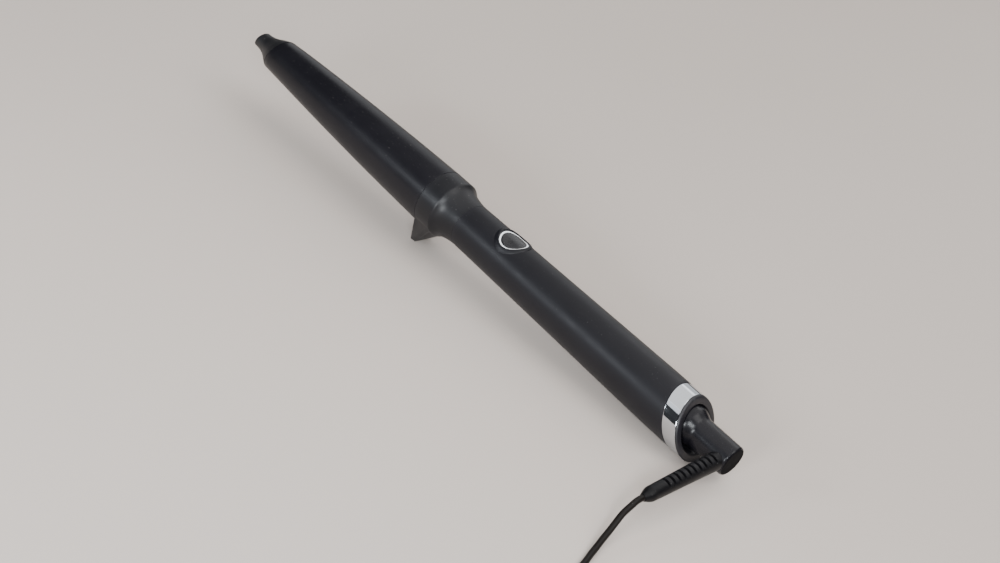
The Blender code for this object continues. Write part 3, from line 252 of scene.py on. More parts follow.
def cord_route(free_step, points_per_turn):
    """The whole cord: off the relief and over the table, round the coil, and on to the plug."""
    straight = 2 * cord_radius
    turns = coil_route(points_per_turn)
    turns_in = (turns[1] - turns[0]).normalized()
    turns_out = (turns[-1] - turns[-2]).normalized()
    lead_in = [
        cord_exit,
        cord_exit + cord_heading * straight,
        (0.1660, -0.0600, 0.0103), (0.1666, -0.0652, 0.0088), (0.1675, -0.0694, 0.0069),
        (0.1684, -0.0732, 0.0052), (0.1694, -0.0775, 0.0038), (0.1706, -0.0818, 0.0027),
        (0.1719, -0.0864, 0.0019), (0.1735, -0.0912, 0.00145), (0.1757, -0.1000, 0.0014),
        bend_end,
        (0.1768, -0.1195, 0.0014), (0.1760, -0.1295, 0.0015), (0.1760, -0.1385, 0.0019),
        turns[0] - turns_in * straight,
    ]
    tail = [
        turns[-1] + turns_out * straight,
        (0.2191, -0.1252, 0.0121), (0.2191, -0.1204, 0.0108),
        (0.2208, -0.1158, 0.0090), (0.2227, -0.1125, 0.0076),
        plug_entry - plug_heading * straight,
        plug_entry - plug_heading * clearance,
    ]
    return smooth_route(lead_in, free_step) + turns + smooth_route(tail, free_step)


cord_path = cord_route(free_step=0.0055, points_per_turn=24)
fine_path = cord_route(free_step=0.0012, points_per_turn=60)
cord_line = bpy.data.curves.new("mains_cord", "CURVE")
cord_line.dimensions = "3D"
cord_line.bevel_depth = cord_radius
cord_line.bevel_resolution = 6
cord_line.use_fill_caps = True
cord_spline = cord_line.splines.new("POLY")
cord_spline.points.add(len(fine_path) - 1)
for spot, point in zip(cord_spline.points, fine_path):
    spot.co = (*point, 1.0)
mains_cord = bpy.data.objects.new("mains_cord", cord_line)
bpy.context.scene.collection.objects.link(mains_cord)


def select_only(piece):
    """Select one piece and make it the active one."""
    bpy.ops.object.select_all(action="DESELECT")
    piece.select_set(True)
    bpy.context.view_layer.objects.active = piece


select_only(mains_cord)
bpy.ops.object.convert(target="MESH")
mains_cord = bpy.context.object
mains_cord.name = "mains_cord"
bpy.ops.object.shade_smooth_by_angle(angle=math.radians(60))


def new_group(name, **usual_values):
    """A shared node group that is fed with a place, Vector, and values. Gives it and its inputs."""
    group = bpy.data.node_groups.new(name, "ShaderNodeTree")
    group.interface.new_socket("Vector", in_out="INPUT", socket_type="NodeSocketVector")
    for label, usual in usual_values.items():
        socket = group.interface.new_socket(label.replace("_", " "), in_out="INPUT",
                                            socket_type="NodeSocketFloat")
        socket.default_value = usual
    return group, group.nodes.new("NodeGroupInput").outputs


def end_group(group, **results):
    """Give a shared node group its outputs."""
    for label in results:
        group.interface.new_socket(label, in_out="OUTPUT", socket_type="NodeSocketFloat")
    set_node(group.nodes.new("NodeGroupOutput"), **results)


def calculate(tree, operation, *terms):
    """Work out a value from terms, each a number or a socket. Gives the result's socket."""
    node = add_node(tree, "Math", operation=operation)
    for socket, term in zip(node.inputs, terms):
        set_socket(socket, term)
    return node.outputs["Value"]


# Fine mould texture: small sparked pits over slow tonal drift, as plastic takes it from the tool.
mould_texture, feed = new_group("mould_texture", Pits_per_metre=2600.0, Patches_per_metre=45.0)
pits = add_node(mould_texture, "TexNoise", "Fac", Vector=feed["Vector"], Scale=feed["Pits per metre"],
                Detail=3.0, Roughness=0.65)
cells = add_node(mould_texture, "TexVoronoi", "Distance", feature="SMOOTH_F1", Vector=feed["Vector"],
                 Scale=feed["Pits per metre"])
patches = add_node(mould_texture, "TexNoise", "Fac", Vector=feed["Vector"], Scale=feed["Patches per metre"],
                   Detail=4.0)
pitting = calculate(mould_texture, "MULTIPLY", pits, cells)
end_group(mould_texture, Height=pitting, Patches=patches)

# Marks of use: smeared finger grease in patches and hair-fine scratches that run lengthwise.
use_marks, feed = new_group("use_marks", Smears_per_metre=60.0)
smears = add_node(use_marks, "TexNoise", "Fac", Vector=feed["Vector"], Scale=feed["Smears per metre"],
                  Detail=6.0, Distortion=0.8)
lengthwise = add_node(use_marks, "Mapping", "Vector", Vector=feed["Vector"], Rotation=(0.0, 0.05, 0.08),
                      Scale=(25.0, 1900.0, 1900.0))
hairs = add_node(use_marks, "TexNoise", "Fac", Vector=lengthwise, Scale=1.0, Detail=1.0)
scratches = ramp_value(use_marks, hairs, 0.70, 0.78)
end_group(use_marks, Smears=smears, Scratches=scratches)

# Settled dust: sparse specks, only on what faces up.
settled_dust, feed = new_group("settled_dust", Amount=0.5)
specks = add_node(settled_dust, "TexNoise", "Fac", Vector=feed["Vector"], Scale=1500.0, Detail=2.0)
few_specks = ramp_value(settled_dust, specks, 0.70, 0.80)
normal = add_node(settled_dust, "NewGeometry", "Normal")
facing = add_node(settled_dust, "SeparateXYZ", "Z", Vector=normal)
facing_up = ramp_value(settled_dust, facing, 0.2, 0.9)
lying = calculate(settled_dust, "MULTIPLY", few_specks, facing_up)
end_group(settled_dust, Dust=calculate(settled_dust, "MULTIPLY", lying, feed["Amount"]))

# Rubbed edges: where the surface turns outward sharply the finish is thinner and a little paler.
rubbed_edges, feed = new_group("rubbed_edges", Amount=0.5)
pointed = add_node(rubbed_edges, "NewGeometry", "Pointiness")
outward = ramp_value(rubbed_edges, pointed, 0.53, 0.62)
ragged = add_node(rubbed_edges, "TexNoise", "Fac", Vector=feed["Vector"], Scale=700.0, Detail=3.0)
uneven = calculate(rubbed_edges, "MULTIPLY", outward, ragged)
end_group(rubbed_edges, Edges=calculate(rubbed_edges, "MULTIPLY", uneven, feed["Amount"]))


def new_finish(name, deep, pale, roughness, grain, relief=0.00003, bump=0.35, dust=0.5, edge=0.0,
               edge_colour=(0.10, 0.10, 0.11), metallic=0.0, specular=0.5):
    """A used finish: two close tones, mould texture, smears, dust and rubbed edges. roughness is for
    clean and smeared places, and grain is the pits, patches and smears per metre. Coordinates follow
    the wand, so that lengthwise marks run along it."""
    pits, patch, smear = grain
    dust_colour = (0.30, 0.29, 0.28)
    scratch_roughness = 0.06
    scratch_depth = -0.12
    material = bpy.data.materials.new(name)
    material.use_nodes = True
    tree = material.node_tree
    place = add_node(tree, "TexCoord", "Object")
    along = add_node(tree, "Mapping", "Vector", Vector=place, Rotation=(0.0, -wand_tilt, 0.0))
    texture = add_node(tree, "Group", node_tree=mould_texture, Vector=along, Pits_per_metre=pits,
                       Patches_per_metre=patch).outputs
    marks = add_node(tree, "Group", node_tree=use_marks, Vector=along, Smears_per_metre=smear).outputs
    specks = add_node(tree, "Group", node_tree=settled_dust, Vector=along, Amount=dust).outputs
    rubbed = add_node(tree, "Group", node_tree=rubbed_edges, Vector=along, Amount=edge).outputs
    colour = mix_colours(tree, ramp_value(tree, texture["Patches"], 0.3, 0.7), deep, pale)
    colour = mix_colours(tree, rubbed["Edges"], colour, edge_colour)
    colour = mix_colours(tree, specks["Dust"], colour, dust_colour)
    smeared = ramp_value(tree, marks["Smears"], 0.35, 0.68, *roughness)
    scratched = calculate(tree, "MULTIPLY_ADD", marks["Scratches"], scratch_roughness, smeared)
    height = calculate(tree, "MULTIPLY_ADD", marks["Scratches"], scratch_depth, texture["Height"])
    bumped = add_node(tree, "Bump", "Normal", Strength=bump, Distance=relief, Height=height)
    set_node(tree.nodes["Principled BSDF"], Base_Color=colour, Roughness=scratched,
             Normal=bumped, Metallic=metallic, Specular_IOR_Level=specular)
    return material


def dress(piece, material):
    """Give a new piece its one material."""
    piece.data.materials.clear()
    piece.data.materials.append(material)


cord_jacket = new_finish(
    "cord_jacket", (0.0040, 0.0026, 0.0022), (0.0058, 0.0040, 0.0033), (0.46, 0.38),
    grain=(1700, 120, 150), dust=0.45, specular=0.20)
dress(mains_cord, cord_jacket)
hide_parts("cord_free", "cord_coil", "cord_tail")
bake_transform(mains_cord)


# Strain relief
# Soft black rubber moulded onto the cord: a sleeve that narrows to a rounded cone, slotted above and
# below between two side rails so that it bends. A peg at its root is held in the swivel head.
relief_root = swivel_radius / 2
relief_end = swivel_radius + clearance + relief_length
cone_start = relief_end - 0.0052
relief_start_radius = 0.0041
relief_end_radius = 0.0033
slot_count = 10
first_slot = 0.0102
slot_pitch = 0.0033
slot_width = 0.0014
slot_span = 0.0082
slot_depth = 0.0015
slot_rounding = 0.0004
tool_height = 0.0080
peg_radius = 0.0030
peg_start = swivel_radius - 0.0030
peg_end = 0.0086
room_reach = 0.0090
seam = 0.00012


def lean_ring(x, lean):
    """Lean the selected upright ring about the Y axis, so that it still fits the round it lies on."""
    bpy.ops.transform.rotate(value=lean, orient_axis="Y", center_override=(x, 0.0, 0.0))
    wider = 1 / math.cos(lean)
    bpy.ops.transform.resize(value=(wider, 1.0, wider), center_override=(x, 0.0, 0.0))


def turn(name, rings, sides=128, closed=False):
    """Draw a ring out along the X axis through rings, as turned on a lathe. A ring is its x, its radius
    and, where it stands aslant, its lean. A closed piece ends on its first ring, others get their
    ends filled. An upright ring after a leaning one keeps a slope too slight to see."""
    doubles = 0.000002
    slight_slope = 1e-6
    rings = [(*ring, 0.0)[:3] for ring in rings]
    x, radius, lean = rings[0]
    bpy.ops.mesh.primitive_circle_add(vertices=sides, radius=radius, location=(x, 0.0, 0.0),
                                      rotation=(0.0, math.pi / 2, 0.0))
    piece = bpy.context.object
    piece.name = name
    piece.data.name = name
    bpy.ops.object.transform_apply()
    bpy.ops.object.mode_set(mode="EDIT")
    bpy.ops.mesh.select_mode(type="VERT")
    bpy.ops.mesh.select_all(action="SELECT")
    slope = math.tan(lean)
    if lean:
        lean_ring(x, lean)
    for next_x, next_radius, next_lean in rings[1:] + (rings[:1] if closed else []):
        bpy.ops.mesh.extrude_region_move(TRANSFORM_OT_translate={"value": (next_x - x, 0.0, 0.0)})
        grow = next_radius / radius
        next_slope = math.tan(next_lean)
        spread = 1.0
        if slope:
            next_slope = next_slope or slight_slope
            spread = grow * next_slope / slope
        bpy.ops.transform.resize(value=(spread, grow, grow), center_override=(next_x, 0.0, 0.0))
        if next_lean and not slope:
            lean_ring(next_x, next_lean)
        x, radius, slope = next_x, next_radius, next_slope
    bpy.ops.mesh.select_all(action="SELECT")
    bpy.ops.mesh.remove_doubles(threshold=doubles)
    if not closed:
        bpy.ops.mesh.select_all(action="DESELECT")
        bpy.ops.mesh.select_non_manifold()
        bpy.ops.mesh.fill_holes(sides=0)
    bpy.ops.mesh.select_all(action="SELECT")
    bpy.ops.mesh.normals_make_consistent(inside=False)
    bpy.ops.object.mode_set(mode="OBJECT")
    return piece


def rod(name, start, end, radius, sides):
    """A plain round rod along the X axis."""
    return turn(name, [(start, radius), (end, radius)], sides)


def add_block(size, place):
    """A plain block of a size, with its middle at a place."""
    bpy.ops.mesh.primitive_cube_add(size=1.0, location=place)
    block = bpy.context.object
    block.scale = size
    bpy.ops.object.transform_apply()
    return block


def cut(piece, tool, operation="DIFFERENCE"):
    """Cut a piece with a tool, or weld the tool on, and clear the tool away."""
    select_only(piece)
    modifier = piece.modifiers.new("cut", "BOOLEAN")
    modifier.operation = operation
    modifier.solver = "EXACT"
    modifier.object = tool
    bpy.ops.object.modifier_apply(modifier="cut")
    bpy.data.objects.remove(tool)


def round_edges(piece, width, segments=3, angle=35.0):
    """Round the edges that are sharper than an angle."""
    select_only(piece)
    modifier = piece.modifiers.new("rounding", "BEVEL")
    modifier.width = width
    modifier.segments = segments
    modifier.limit_method = "ANGLE"
    modifier.angle_limit = math.radians(angle)
    modifier.miter_outer = "MITER_ARC"
    bpy.ops.object.modifier_apply(modifier="rounding")


def put(piece, place, smooth=30.0):
    """Lay a piece in its place for good, so that its object stays at the origin, and smooth its faces."""
    select_only(piece)
    piece.matrix_world = place
    bpy.ops.object.transform_apply()
    bpy.ops.object.shade_smooth_by_angle(angle=math.radians(smooth))


def relief_radius(x):
    """Radius of the relief's even taper at a distance from the swivel's axis."""
    share = (x - relief_root) / (cone_start - relief_root)
    return relief_start_radius + (relief_end_radius - relief_start_radius) * share


relief_rings = []
for step in range(9):
    x = relief_root + (cone_start - relief_root) * step / 8
    relief_rings.append((x, relief_radius(x)))
for along, drop in ((0.1, 0.015), (0.2, 0.06), (0.32, 0.15), (0.45, 0.28), (0.6, 0.46), (0.75, 0.68),
                    (0.88, 0.86), (0.96, 0.96), (1.0, 1.06)):
    relief_rings.append((cone_start + (relief_end - cone_start) * along,
                         relief_end_radius - (relief_end_radius - cord_radius - clearance) * drop))
strain_relief = turn("strain_relief_sleeve", relief_rings, sides=64)
for slot in range(slot_count):
    slot_x = first_slot + slot_pitch * slot
    slot_middle = relief_radius(slot_x) - slot_depth + tool_height / 2
    for side in (-1, 1):
        slot_tool = add_block((slot_width, slot_span, tool_height), (slot_x, 0.0, side * slot_middle))
        round_edges(slot_tool, slot_rounding)
        cut(strain_relief, slot_tool)
put(strain_relief, relief_place)
swivel_room = rod("swivel_room", relief_x - room_reach, relief_x + room_reach, swivel_radius + seam, 96)
cut(strain_relief, swivel_room)
relief_peg = rod("relief_peg", peg_start, peg_end, peg_radius, 48)
put(relief_peg, relief_place)
cut(strain_relief, relief_peg, "UNION")
put(strain_relief, wand_place, smooth=28.0)
relief_rubber = new_finish(
    "relief_rubber", (0.0024, 0.0023, 0.0030), (0.0038, 0.0036, 0.0046), (0.46, 0.36),
    grain=(2200, 150, 140), dust=0.7, edge=0.6, edge_colour=(0.024, 0.023, 0.026), specular=0.18)
dress(strain_relief, relief_rubber)
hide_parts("strain_relief")
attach(strain_relief, "swivel")


# Swivel head
# Satin black nylon rotor that turns in the end cap's socket: a round head that flares out to fill the
# socket, on a thinner journal with a groove for its clip, and a pocket for the strain relief's peg.
cap_face = 0.1723
socket_floor = cap_face - 0.0065
cap_floor_inner = socket_floor - 0.0065
swivel_start = socket_floor + clearance
swivel_end = swivel_start + 0.0275
swivel_rounding = 0.0014
stem_start = 0.1536
stem_radius = 0.0034
journal_radius = 0.0047
groove_radius = 0.0039
groove_start = cap_floor_inner - 0.0016
flange_start = groove_start - 0.0010
flare_radius = 0.0093
flare_edge = 0.0003
flare_top = swivel_start + 0.0030
flare_length = 0.0060
pocket_end = 0.0113
swivel_rings = [
    (stem_start, stem_radius), (flange_start, stem_radius), (flange_start, journal_radius),
    (groove_start, journal_radius), (groove_start, groove_radius), (cap_floor_inner, groove_radius),
    (cap_floor_inner, journal_radius), (swivel_start, journal_radius),
    (swivel_start, flare_radius - flare_edge), (swivel_start + flare_edge, flare_radius),
]


def rounding(x, radius, fillet, lean=0.0, steps=8, lead=1):
    """Rings of a quarter round from the side at radius to the end face at x. lead -1 faces -X."""
    rings = []
    for step in range(steps + 1):
        angle = step / steps * math.pi / 2
        back = fillet * (1 - math.sin(angle))
        rings.append((x - lead * back, radius - fillet * (1 - math.cos(angle)), lean))
    return rings


for step in range(13):
    share = step / 12
    flare = (flare_radius - swivel_radius) * (0.5 + 0.5 * math.cos(math.pi * share))
    swivel_rings.append((flare_top + flare_length * share, swivel_radius + flare))
swivel_rings += [(swivel_start + 0.012, swivel_radius), (swivel_start + 0.018, swivel_radius)]
swivel_rings += rounding(swivel_end, swivel_radius, swivel_rounding, steps=10)
swivel_rings += [(swivel_end, radius) for radius in (0.0044, 0.0030, 0.0014)]
swivel_head = turn("swivel_rotor", swivel_rings)
pocket_tool = rod("pocket_tool", peg_start - clearance, pocket_end, peg_radius + clearance, 48)
put(pocket_tool, relief_place)
cut(swivel_head, pocket_tool)
put(swivel_head, wand_place)
swivel_nylon = new_finish(
    "swivel_nylon", (0.0046, 0.0044, 0.0062), (0.0066, 0.0062, 0.0086), (0.31, 0.25),
    grain=(1500, 110, 130), dust=0.25, edge=0.6, edge_colour=(0.04, 0.04, 0.045), specular=0.25)
dress(swivel_head, swivel_nylon)

# Its flat end gets a rougher, darker and duller finish than the rest of the head. This is painted shade:
# the darker colour and weaker reflection stand in for the dim surroundings that the end face reflects.
end_painted_shade = new_finish(
    "end_painted_shade", (0.0035, 0.0034, 0.0042), (0.0052, 0.0050, 0.0060), (0.78, 0.66),
    grain=(1800, 160, 160), relief=0.00005, bump=0.6, dust=0.3, edge=0.3,
    edge_colour=(0.02, 0.02, 0.022), specular=0.06)
swivel_head.data.materials.append(end_painted_shade)
swivel_axis = wand_place.to_3x3() @ Vector((1.0, 0.0, 0.0))
flat_end = wand_place @ Vector((swivel_end - 0.0003, 0.0, 0.0))
# The faces of the flat end take the painted shade finish.
for polygon in swivel_head.data.polygons:
    if (polygon.center - flat_end).dot(swivel_axis) > 0.0:
        polygon.material_index = 1
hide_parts("swivel_head")
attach(swivel_head, "swivel")


# End cap
# Moulded black cap with a fine satin texture. Its plug goes through the chrome band into the handle;
# its slanted face carries the swivel's socket, a shallow cup with a softly broken rim.
butt_slant = math.radians(26.1)
handle_butt = 0.01315
handle_wall = 0.0018
band_start = 0.1633
band_end = 0.1711
straight_start = band_start - 0.0150
cap_plug_radius = handle_butt - handle_wall - clearance
cap_plug_bore = cap_plug_radius - 0.0028
cap_rim = 0.0009
rim_inner = 0.0114
mouth_radius = 0.0106
mouth_rounding = 0.0009
mouth_end = math.radians(80)
wall_top = 0.0008
wall_radius = 0.0097
socket_radius = 0.0094
journal_bore = 0.0050
cap_rings = [
    (straight_start, cap_plug_bore), (straight_start, cap_plug_radius),
    (band_start - 0.005, cap_plug_radius),
    (band_end + seam, cap_plug_radius, butt_slant), (band_end + seam, handle_butt - seam, butt_slant),
    (band_end + 2 * seam, handle_butt, butt_slant),
]
cap_rings += rounding(cap_face, handle_butt, cap_rim, butt_slant)
cap_rings += [(cap_face, rim_inner, butt_slant), (cap_face, mouth_radius, butt_slant)]
for step in range(1, 7):
    angle = step / 6 * mouth_end
    cap_rings.append((cap_face - mouth_rounding * (1 - math.cos(angle)),
                      mouth_radius - mouth_rounding * math.sin(angle), butt_slant))
for share in (0.25, 0.5, 0.75, 0.94):
    cap_rings.append((cap_face - wall_top + (socket_floor - cap_face + wall_top) * share,
                      wall_radius - 0.0001 * share, butt_slant * (1 - share)))
cap_rings += [(socket_floor, socket_radius), (socket_floor, journal_bore), (cap_floor_inner, journal_bore),
              (cap_floor_inner, cap_plug_bore)]
end_cap = turn("end_cap_moulding", cap_rings, sides=160, closed=True)
put(end_cap, wand_place)
cap_plastic = new_finish(
    "cap_plastic", (0.0100, 0.0095, 0.0125), (0.0140, 0.0132, 0.0170), (0.46, 0.38),
    grain=(2400, 80, 110), edge=0.7, edge_colour=(0.07, 0.07, 0.08))
dress(end_cap, cap_plastic)
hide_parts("end_cap")
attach(end_cap, "wand")


# Chrome band
# Slanted trim ring, chrome on moulded plastic, between the handle and the end cap. It is mirror
# bright with the faint waviness of plated plastic and a few wiping marks.
band_wall = 0.0017
band_edge = 0.00022
edge_line = [(0.0, band_wall), (0.0, band_edge), (band_edge * 0.3, band_edge * 0.3), (band_edge, 0.0),
             (band_edge * 1.6, 0.0)]
band_rings = [(band_start + along, handle_butt - drop, butt_slant) for along, drop in edge_line]
band_rings += [(band_end - along, handle_butt - drop, butt_slant) for along, drop in reversed(edge_line)]
chrome_band = turn("chrome_trim_band", band_rings, sides=192, closed=True)
put(chrome_band, wand_place)
chrome_plate = new_finish(
    "chrome_plate", (0.47, 0.49, 0.52), (0.51, 0.53, 0.56), (0.045, 0.09),
    grain=(300, 90, 170), relief=0.00001, bump=0.12, dust=0.25, metallic=1.0)
dress(chrome_band, chrome_plate)
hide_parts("chrome_band")
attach(chrome_band, "wand")


# Handle sleeve
# Moulded tube that widens to the butt, with a soft-touch coat over it: matt, a little cool in tone,
# polished where fingers rub. A low lip stands round the button's hole and follows the round.
collar_length = 0.0227
handle_neck = 0.0113
sleeve_start = 0.02284
sleeve_edge = 0.00006
sleeve_end = band_start - 0.00014
button_x = 0.0498
button_well = 0.0054
lip_inner = 0.00727
hole_radius = lip_inner + 0.0001
hole_top = 0.0180
lip_outer = 0.0094
lip_root = 0.0009


def handle_radius(x):
    """Outer radius of the handle: it widens evenly, then runs straight at the butt."""
    share = max(0.0, min(1.0, (x - collar_length) / (straight_start - collar_length)))
    return handle_neck + (handle_butt - handle_neck) * share


sleeve_rings = [(sleeve_start, handle_neck - handle_wall), (sleeve_start, handle_neck - sleeve_edge),
                (sleeve_start + sleeve_edge, handle_neck)]
for step in range(1, 25):
    x = 0.0230 + (straight_start - 0.0230) * step / 24
    sleeve_rings.append((x, handle_radius(x)))
for share in (0.25, 0.5, 0.75):
    sleeve_rings.append((straight_start + 0.0147 * share, handle_butt, butt_slant * share))
sleeve_rings += [(sleeve_end - seam, handle_butt, butt_slant), (sleeve_end, handle_butt - seam, butt_slant),
                 (sleeve_end, handle_butt - handle_wall, butt_slant),
                 (straight_start, handle_butt - handle_wall)]
handle_sleeve = turn("handle_sleeve_coated", sleeve_rings, sides=160, closed=True)
upright = Matrix.Translation((button_x, 0.0, 0.0)) @ Matrix.Rotation(-math.pi / 2, 4, "Y")
hole_tool = rod("hole_tool", button_well, hole_top, hole_radius, 96)
put(hole_tool, upright)
cut(handle_sleeve, hole_tool)
crest = handle_radius(button_x)
lip_rings = [(crest - lip_root, lip_inner), (crest - lip_root, lip_outer)]
for rise, radius in ((-0.00025, 0.00935), (-0.00005, 0.00920), (0.00012, 0.00898), (0.00030, 0.00872),
                     (0.00048, 0.00840), (0.00060, 0.00810), (0.00067, 0.00780), (0.00068, 0.00758),
                     (0.00062, 0.00742), (0.00048, 0.00731), (0.00028, lip_inner)):
    lip_rings.append((crest + rise, radius))
button_lip = turn("button_lip", lip_rings, closed=True)
put(button_lip, upright)
for vertex in button_lip.data.vertices:
    x, y, z = vertex.co
    vertex.co.z = math.sqrt(max(0.0, (handle_radius(x) + z - crest) ** 2 - y * y))
select_only(handle_sleeve)
button_lip.select_set(True)
bpy.ops.object.join()
put(handle_sleeve, wand_place, smooth=35.0)
soft_touch = new_finish(
    "soft_touch_coat", (0.0046, 0.0044, 0.0066), (0.0062, 0.0060, 0.0086), (0.46, 0.38),
    grain=(3600, 35, 45), relief=0.00002, bump=0.4, dust=0.3, edge=0.5,
    edge_colour=(0.05, 0.05, 0.06), specular=0.27)
set_node(soft_touch.node_tree.nodes["Principled BSDF"], Sheen_Weight=0.008, Sheen_Roughness=0.4)
dress(handle_sleeve, soft_touch)
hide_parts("handle_sleeve")
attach(handle_sleeve, "wand")


# Light ring
# Milky polycarbonate ring let in round the button, lit from below by a lamp on the board. Its top
# follows the handle's round, a little below the lip.
ring_outer = 0.00695
ring_inner = 0.00634
ring_top = crest - seam
ring_edge = [(0.0004, 0.0), (0.00012, 0.00004), (0.00002, 0.00016)]


def bend_over_handle(piece, foot, top):
    """Stretch an upright piece so that what was level at the top follows the handle's round."""
    for vertex in piece.data.vertices:
        x, y, z = vertex.co
        surface = math.sqrt(handle_radius(x) ** 2 - y * y) + top - crest
        vertex.co.z = foot + (z - foot) * (surface - foot) / (top - foot)


ring_rings = [(button_well, ring_inner), (button_well, ring_outer)]
ring_rings += [(ring_top - drop, ring_outer - inset) for drop, inset in ring_edge]
ring_rings += [(ring_top, (ring_outer + ring_inner) / 2)]
ring_rings += [(ring_top - drop, ring_inner + inset) for drop, inset in reversed(ring_edge)]
light_ring = turn("milky_light_ring", ring_rings, closed=True)
put(light_ring, upright)
bend_over_handle(light_ring, button_well, ring_top)
put(light_ring, wand_place, smooth=40.0)
milky_white = new_finish(
    "milky_polycarbonate", (0.86, 0.87, 0.88), (0.93, 0.94, 0.95), (0.30, 0.24),
    grain=(2000, 300, 250), relief=0.00001, bump=0.2, dust=0.15)
milky_tree = milky_white.node_tree
milky_place = add_node(milky_tree, "TexCoord", "Object")
milky_cloud = add_node(milky_tree, "TexNoise", "Fac", Vector=milky_place, Scale=160.0, Detail=1.0)
glow_tone = ramp_value(milky_tree, milky_cloud, 0.3, 0.7)
glow_colour = mix_colours(milky_tree, glow_tone, (0.88, 0.92, 1.0), (1.0, 1.0, 1.0))
set_node(milky_tree.nodes["Principled BSDF"], Emission_Color=glow_colour, Emission_Strength=0.8)
dress(light_ring, milky_white)
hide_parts("light_ring")
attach(light_ring, "wand")


# Power button
# Round piano-black key inside the light ring, slightly dished for a fingertip and bent with the
# handle's round. A flange below keeps it in; it presses a switch on the board.
button_foot = 0.0041
button_top = crest - 0.0002
flange_top = button_foot + 0.0010
flange_radius = 0.00665
button_radius = 0.0061
button_rings = [(button_foot, flange_radius), (flange_top, flange_radius), (flange_top, button_radius)]
for drop, radius in ((0.0005, button_radius), (0.00022, 0.00607), (0.00008, 0.00597), (0.0, 0.0058),
                     (0.00002, 0.0054), (0.00005, 0.0047), (0.00009, 0.0039), (0.00012, 0.0030),
                     (0.00015, 0.0020), (0.00016, 0.0010), (0.00016, 0.0003)):
    button_rings.append((button_top - drop, radius))
power_button = turn("power_key", button_rings, sides=96)
put(power_button, upright)
bend_over_handle(power_button, button_foot, button_top)
put(power_button, wand_place, smooth=40.0)
piano_black = new_finish(
    "piano_black", (0.0080, 0.0078, 0.0095), (0.0110, 0.0108, 0.0130), (0.24, 0.32),
    grain=(500, 200, 260), relief=0.00001, bump=0.1, dust=0.9, edge=0.3)
dress(power_button, piano_black)
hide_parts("power_button")
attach(power_button, "button")


# Stand collar
# One heat-resistant black moulding: a collar that takes the barrel's spigot, a shoulder and a waist
# down to the handle, and a wedge below that ends in a small level foot, the wand's stand.
barrel_base = 0.0150
collar_ring_length = 0.0099
spigot_room = 0.0132
spigot_room_end = 0.0096
collar_plug = 0.0092
collar_plug_end = 0.0317
collar_bore = 0.0080
collar_edge = 0.00008
waist_length = collar_length - collar_ring_length
waist_drop = barrel_base - handle_neck
foot_x = -0.0034
foot_size = (0.0030, 0.0100, 0.0010)
foot_drop = 0.0261
foot_thickness = 0.0004
wedge_inset = 0.0002
wedge_reach = math.radians(69)
wedge_rounding = 0.0006
room_start = -0.0150
room_step = 0.0001
room_end = 0.0139
collar_rings = [(0.0, spigot_room), (0.0, barrel_base - seam), (seam, barrel_base), (0.0045, barrel_base),
                (collar_ring_length - 0.0007, barrel_base),
                (collar_ring_length - 0.0003, barrel_base - 0.00002)]
waist = ((0.0, 0.0), (0.03, 0.03), (0.06, 0.09), (0.09, 0.17), (0.13, 0.27), (0.18, 0.38), (0.25, 0.50),
         (0.34, 0.62), (0.45, 0.73), (0.58, 0.83), (0.72, 0.91), (0.86, 0.97), (1.0, 1.0))
waist_line = smooth_route([(along * waist_length, drop * waist_drop, 0.0) for along, drop in waist], 0.0004)
collar_rings += [(collar_ring_length + spot.x, barrel_base - spot.y) for spot in waist_line[:-1]]
collar_rings += [
    (collar_length, handle_neck), (collar_length + collar_edge, handle_neck - collar_edge),
    (collar_length + collar_edge, collar_plug), (collar_plug_end, collar_plug),
    (collar_plug_end, collar_bore), (spigot_room_end, collar_bore), (spigot_room_end, spigot_room),
]
stand_collar = turn("stand_collar_moulding", collar_rings, sides=160, closed=True)

# The wedge is the hull of the collar's underside and the foot, cut out for the barrel.
stand_foot = add_block(foot_size, (foot_x, 0.0, 0.0))
for vertex in stand_foot.data.vertices:
    level = -foot_drop + math.tan(wand_tilt) * (vertex.co.x - foot_x)
    vertex.co.z = level if vertex.co.z < 0 else level + foot_thickness
bpy.ops.mesh.primitive_circle_add(vertices=48, radius=barrel_base - wedge_inset,
                                  location=(wedge_inset, 0.0, 0.0), rotation=(0.0, math.pi / 2, 0.0))
wedge = bpy.context.object
wedge.name = "stand_wedge"
bpy.ops.object.transform_apply()
bpy.ops.object.mode_set(mode="EDIT")
bpy.ops.mesh.select_all(action="DESELECT")
bpy.ops.object.mode_set(mode="OBJECT")
for vertex in wedge.data.vertices:
    vertex.select = vertex.co.z > -barrel_base * math.cos(wedge_reach)
bpy.ops.object.mode_set(mode="EDIT")
bpy.ops.mesh.select_mode(type="VERT")
bpy.ops.mesh.delete(type="VERT")
bpy.ops.mesh.select_all(action="SELECT")
wedge_length = collar_ring_length - wedge_inset
bpy.ops.mesh.extrude_region_move(TRANSFORM_OT_translate={"value": (wedge_length, 0.0, 0.0)})
bpy.ops.object.mode_set(mode="OBJECT")
stand_foot.select_set(True)
bpy.ops.object.join()
bpy.ops.object.mode_set(mode="EDIT")
bpy.ops.mesh.select_all(action="SELECT")
bpy.ops.mesh.convex_hull()
bpy.ops.mesh.select_all(action="SELECT")
bpy.ops.mesh.dissolve_limited(angle_limit=math.radians(1.0))
bpy.ops.object.mode_set(mode="OBJECT")
round_edges(wedge, wedge_rounding, segments=4, angle=25.0)
wall_middle = (spigot_room + barrel_base) / 2
room_radius = barrel_base + clearance
barrel_room = turn("barrel_room", [(room_start, room_radius), (room_step, room_radius),
                                   (room_step, wall_middle), (room_end, wall_middle)], sides=160)
cut(wedge, barrel_room)
cut(stand_collar, wedge, "UNION")
put(stand_collar, wand_place, smooth=28.0)
collar_plastic = new_finish(
    "collar_plastic", (0.0046, 0.0046, 0.0064), (0.0064, 0.0064, 0.0084), (0.43, 0.36),
    grain=(2400, 60, 90), edge=0.6, edge_colour=(0.04, 0.04, 0.045), specular=0.31)
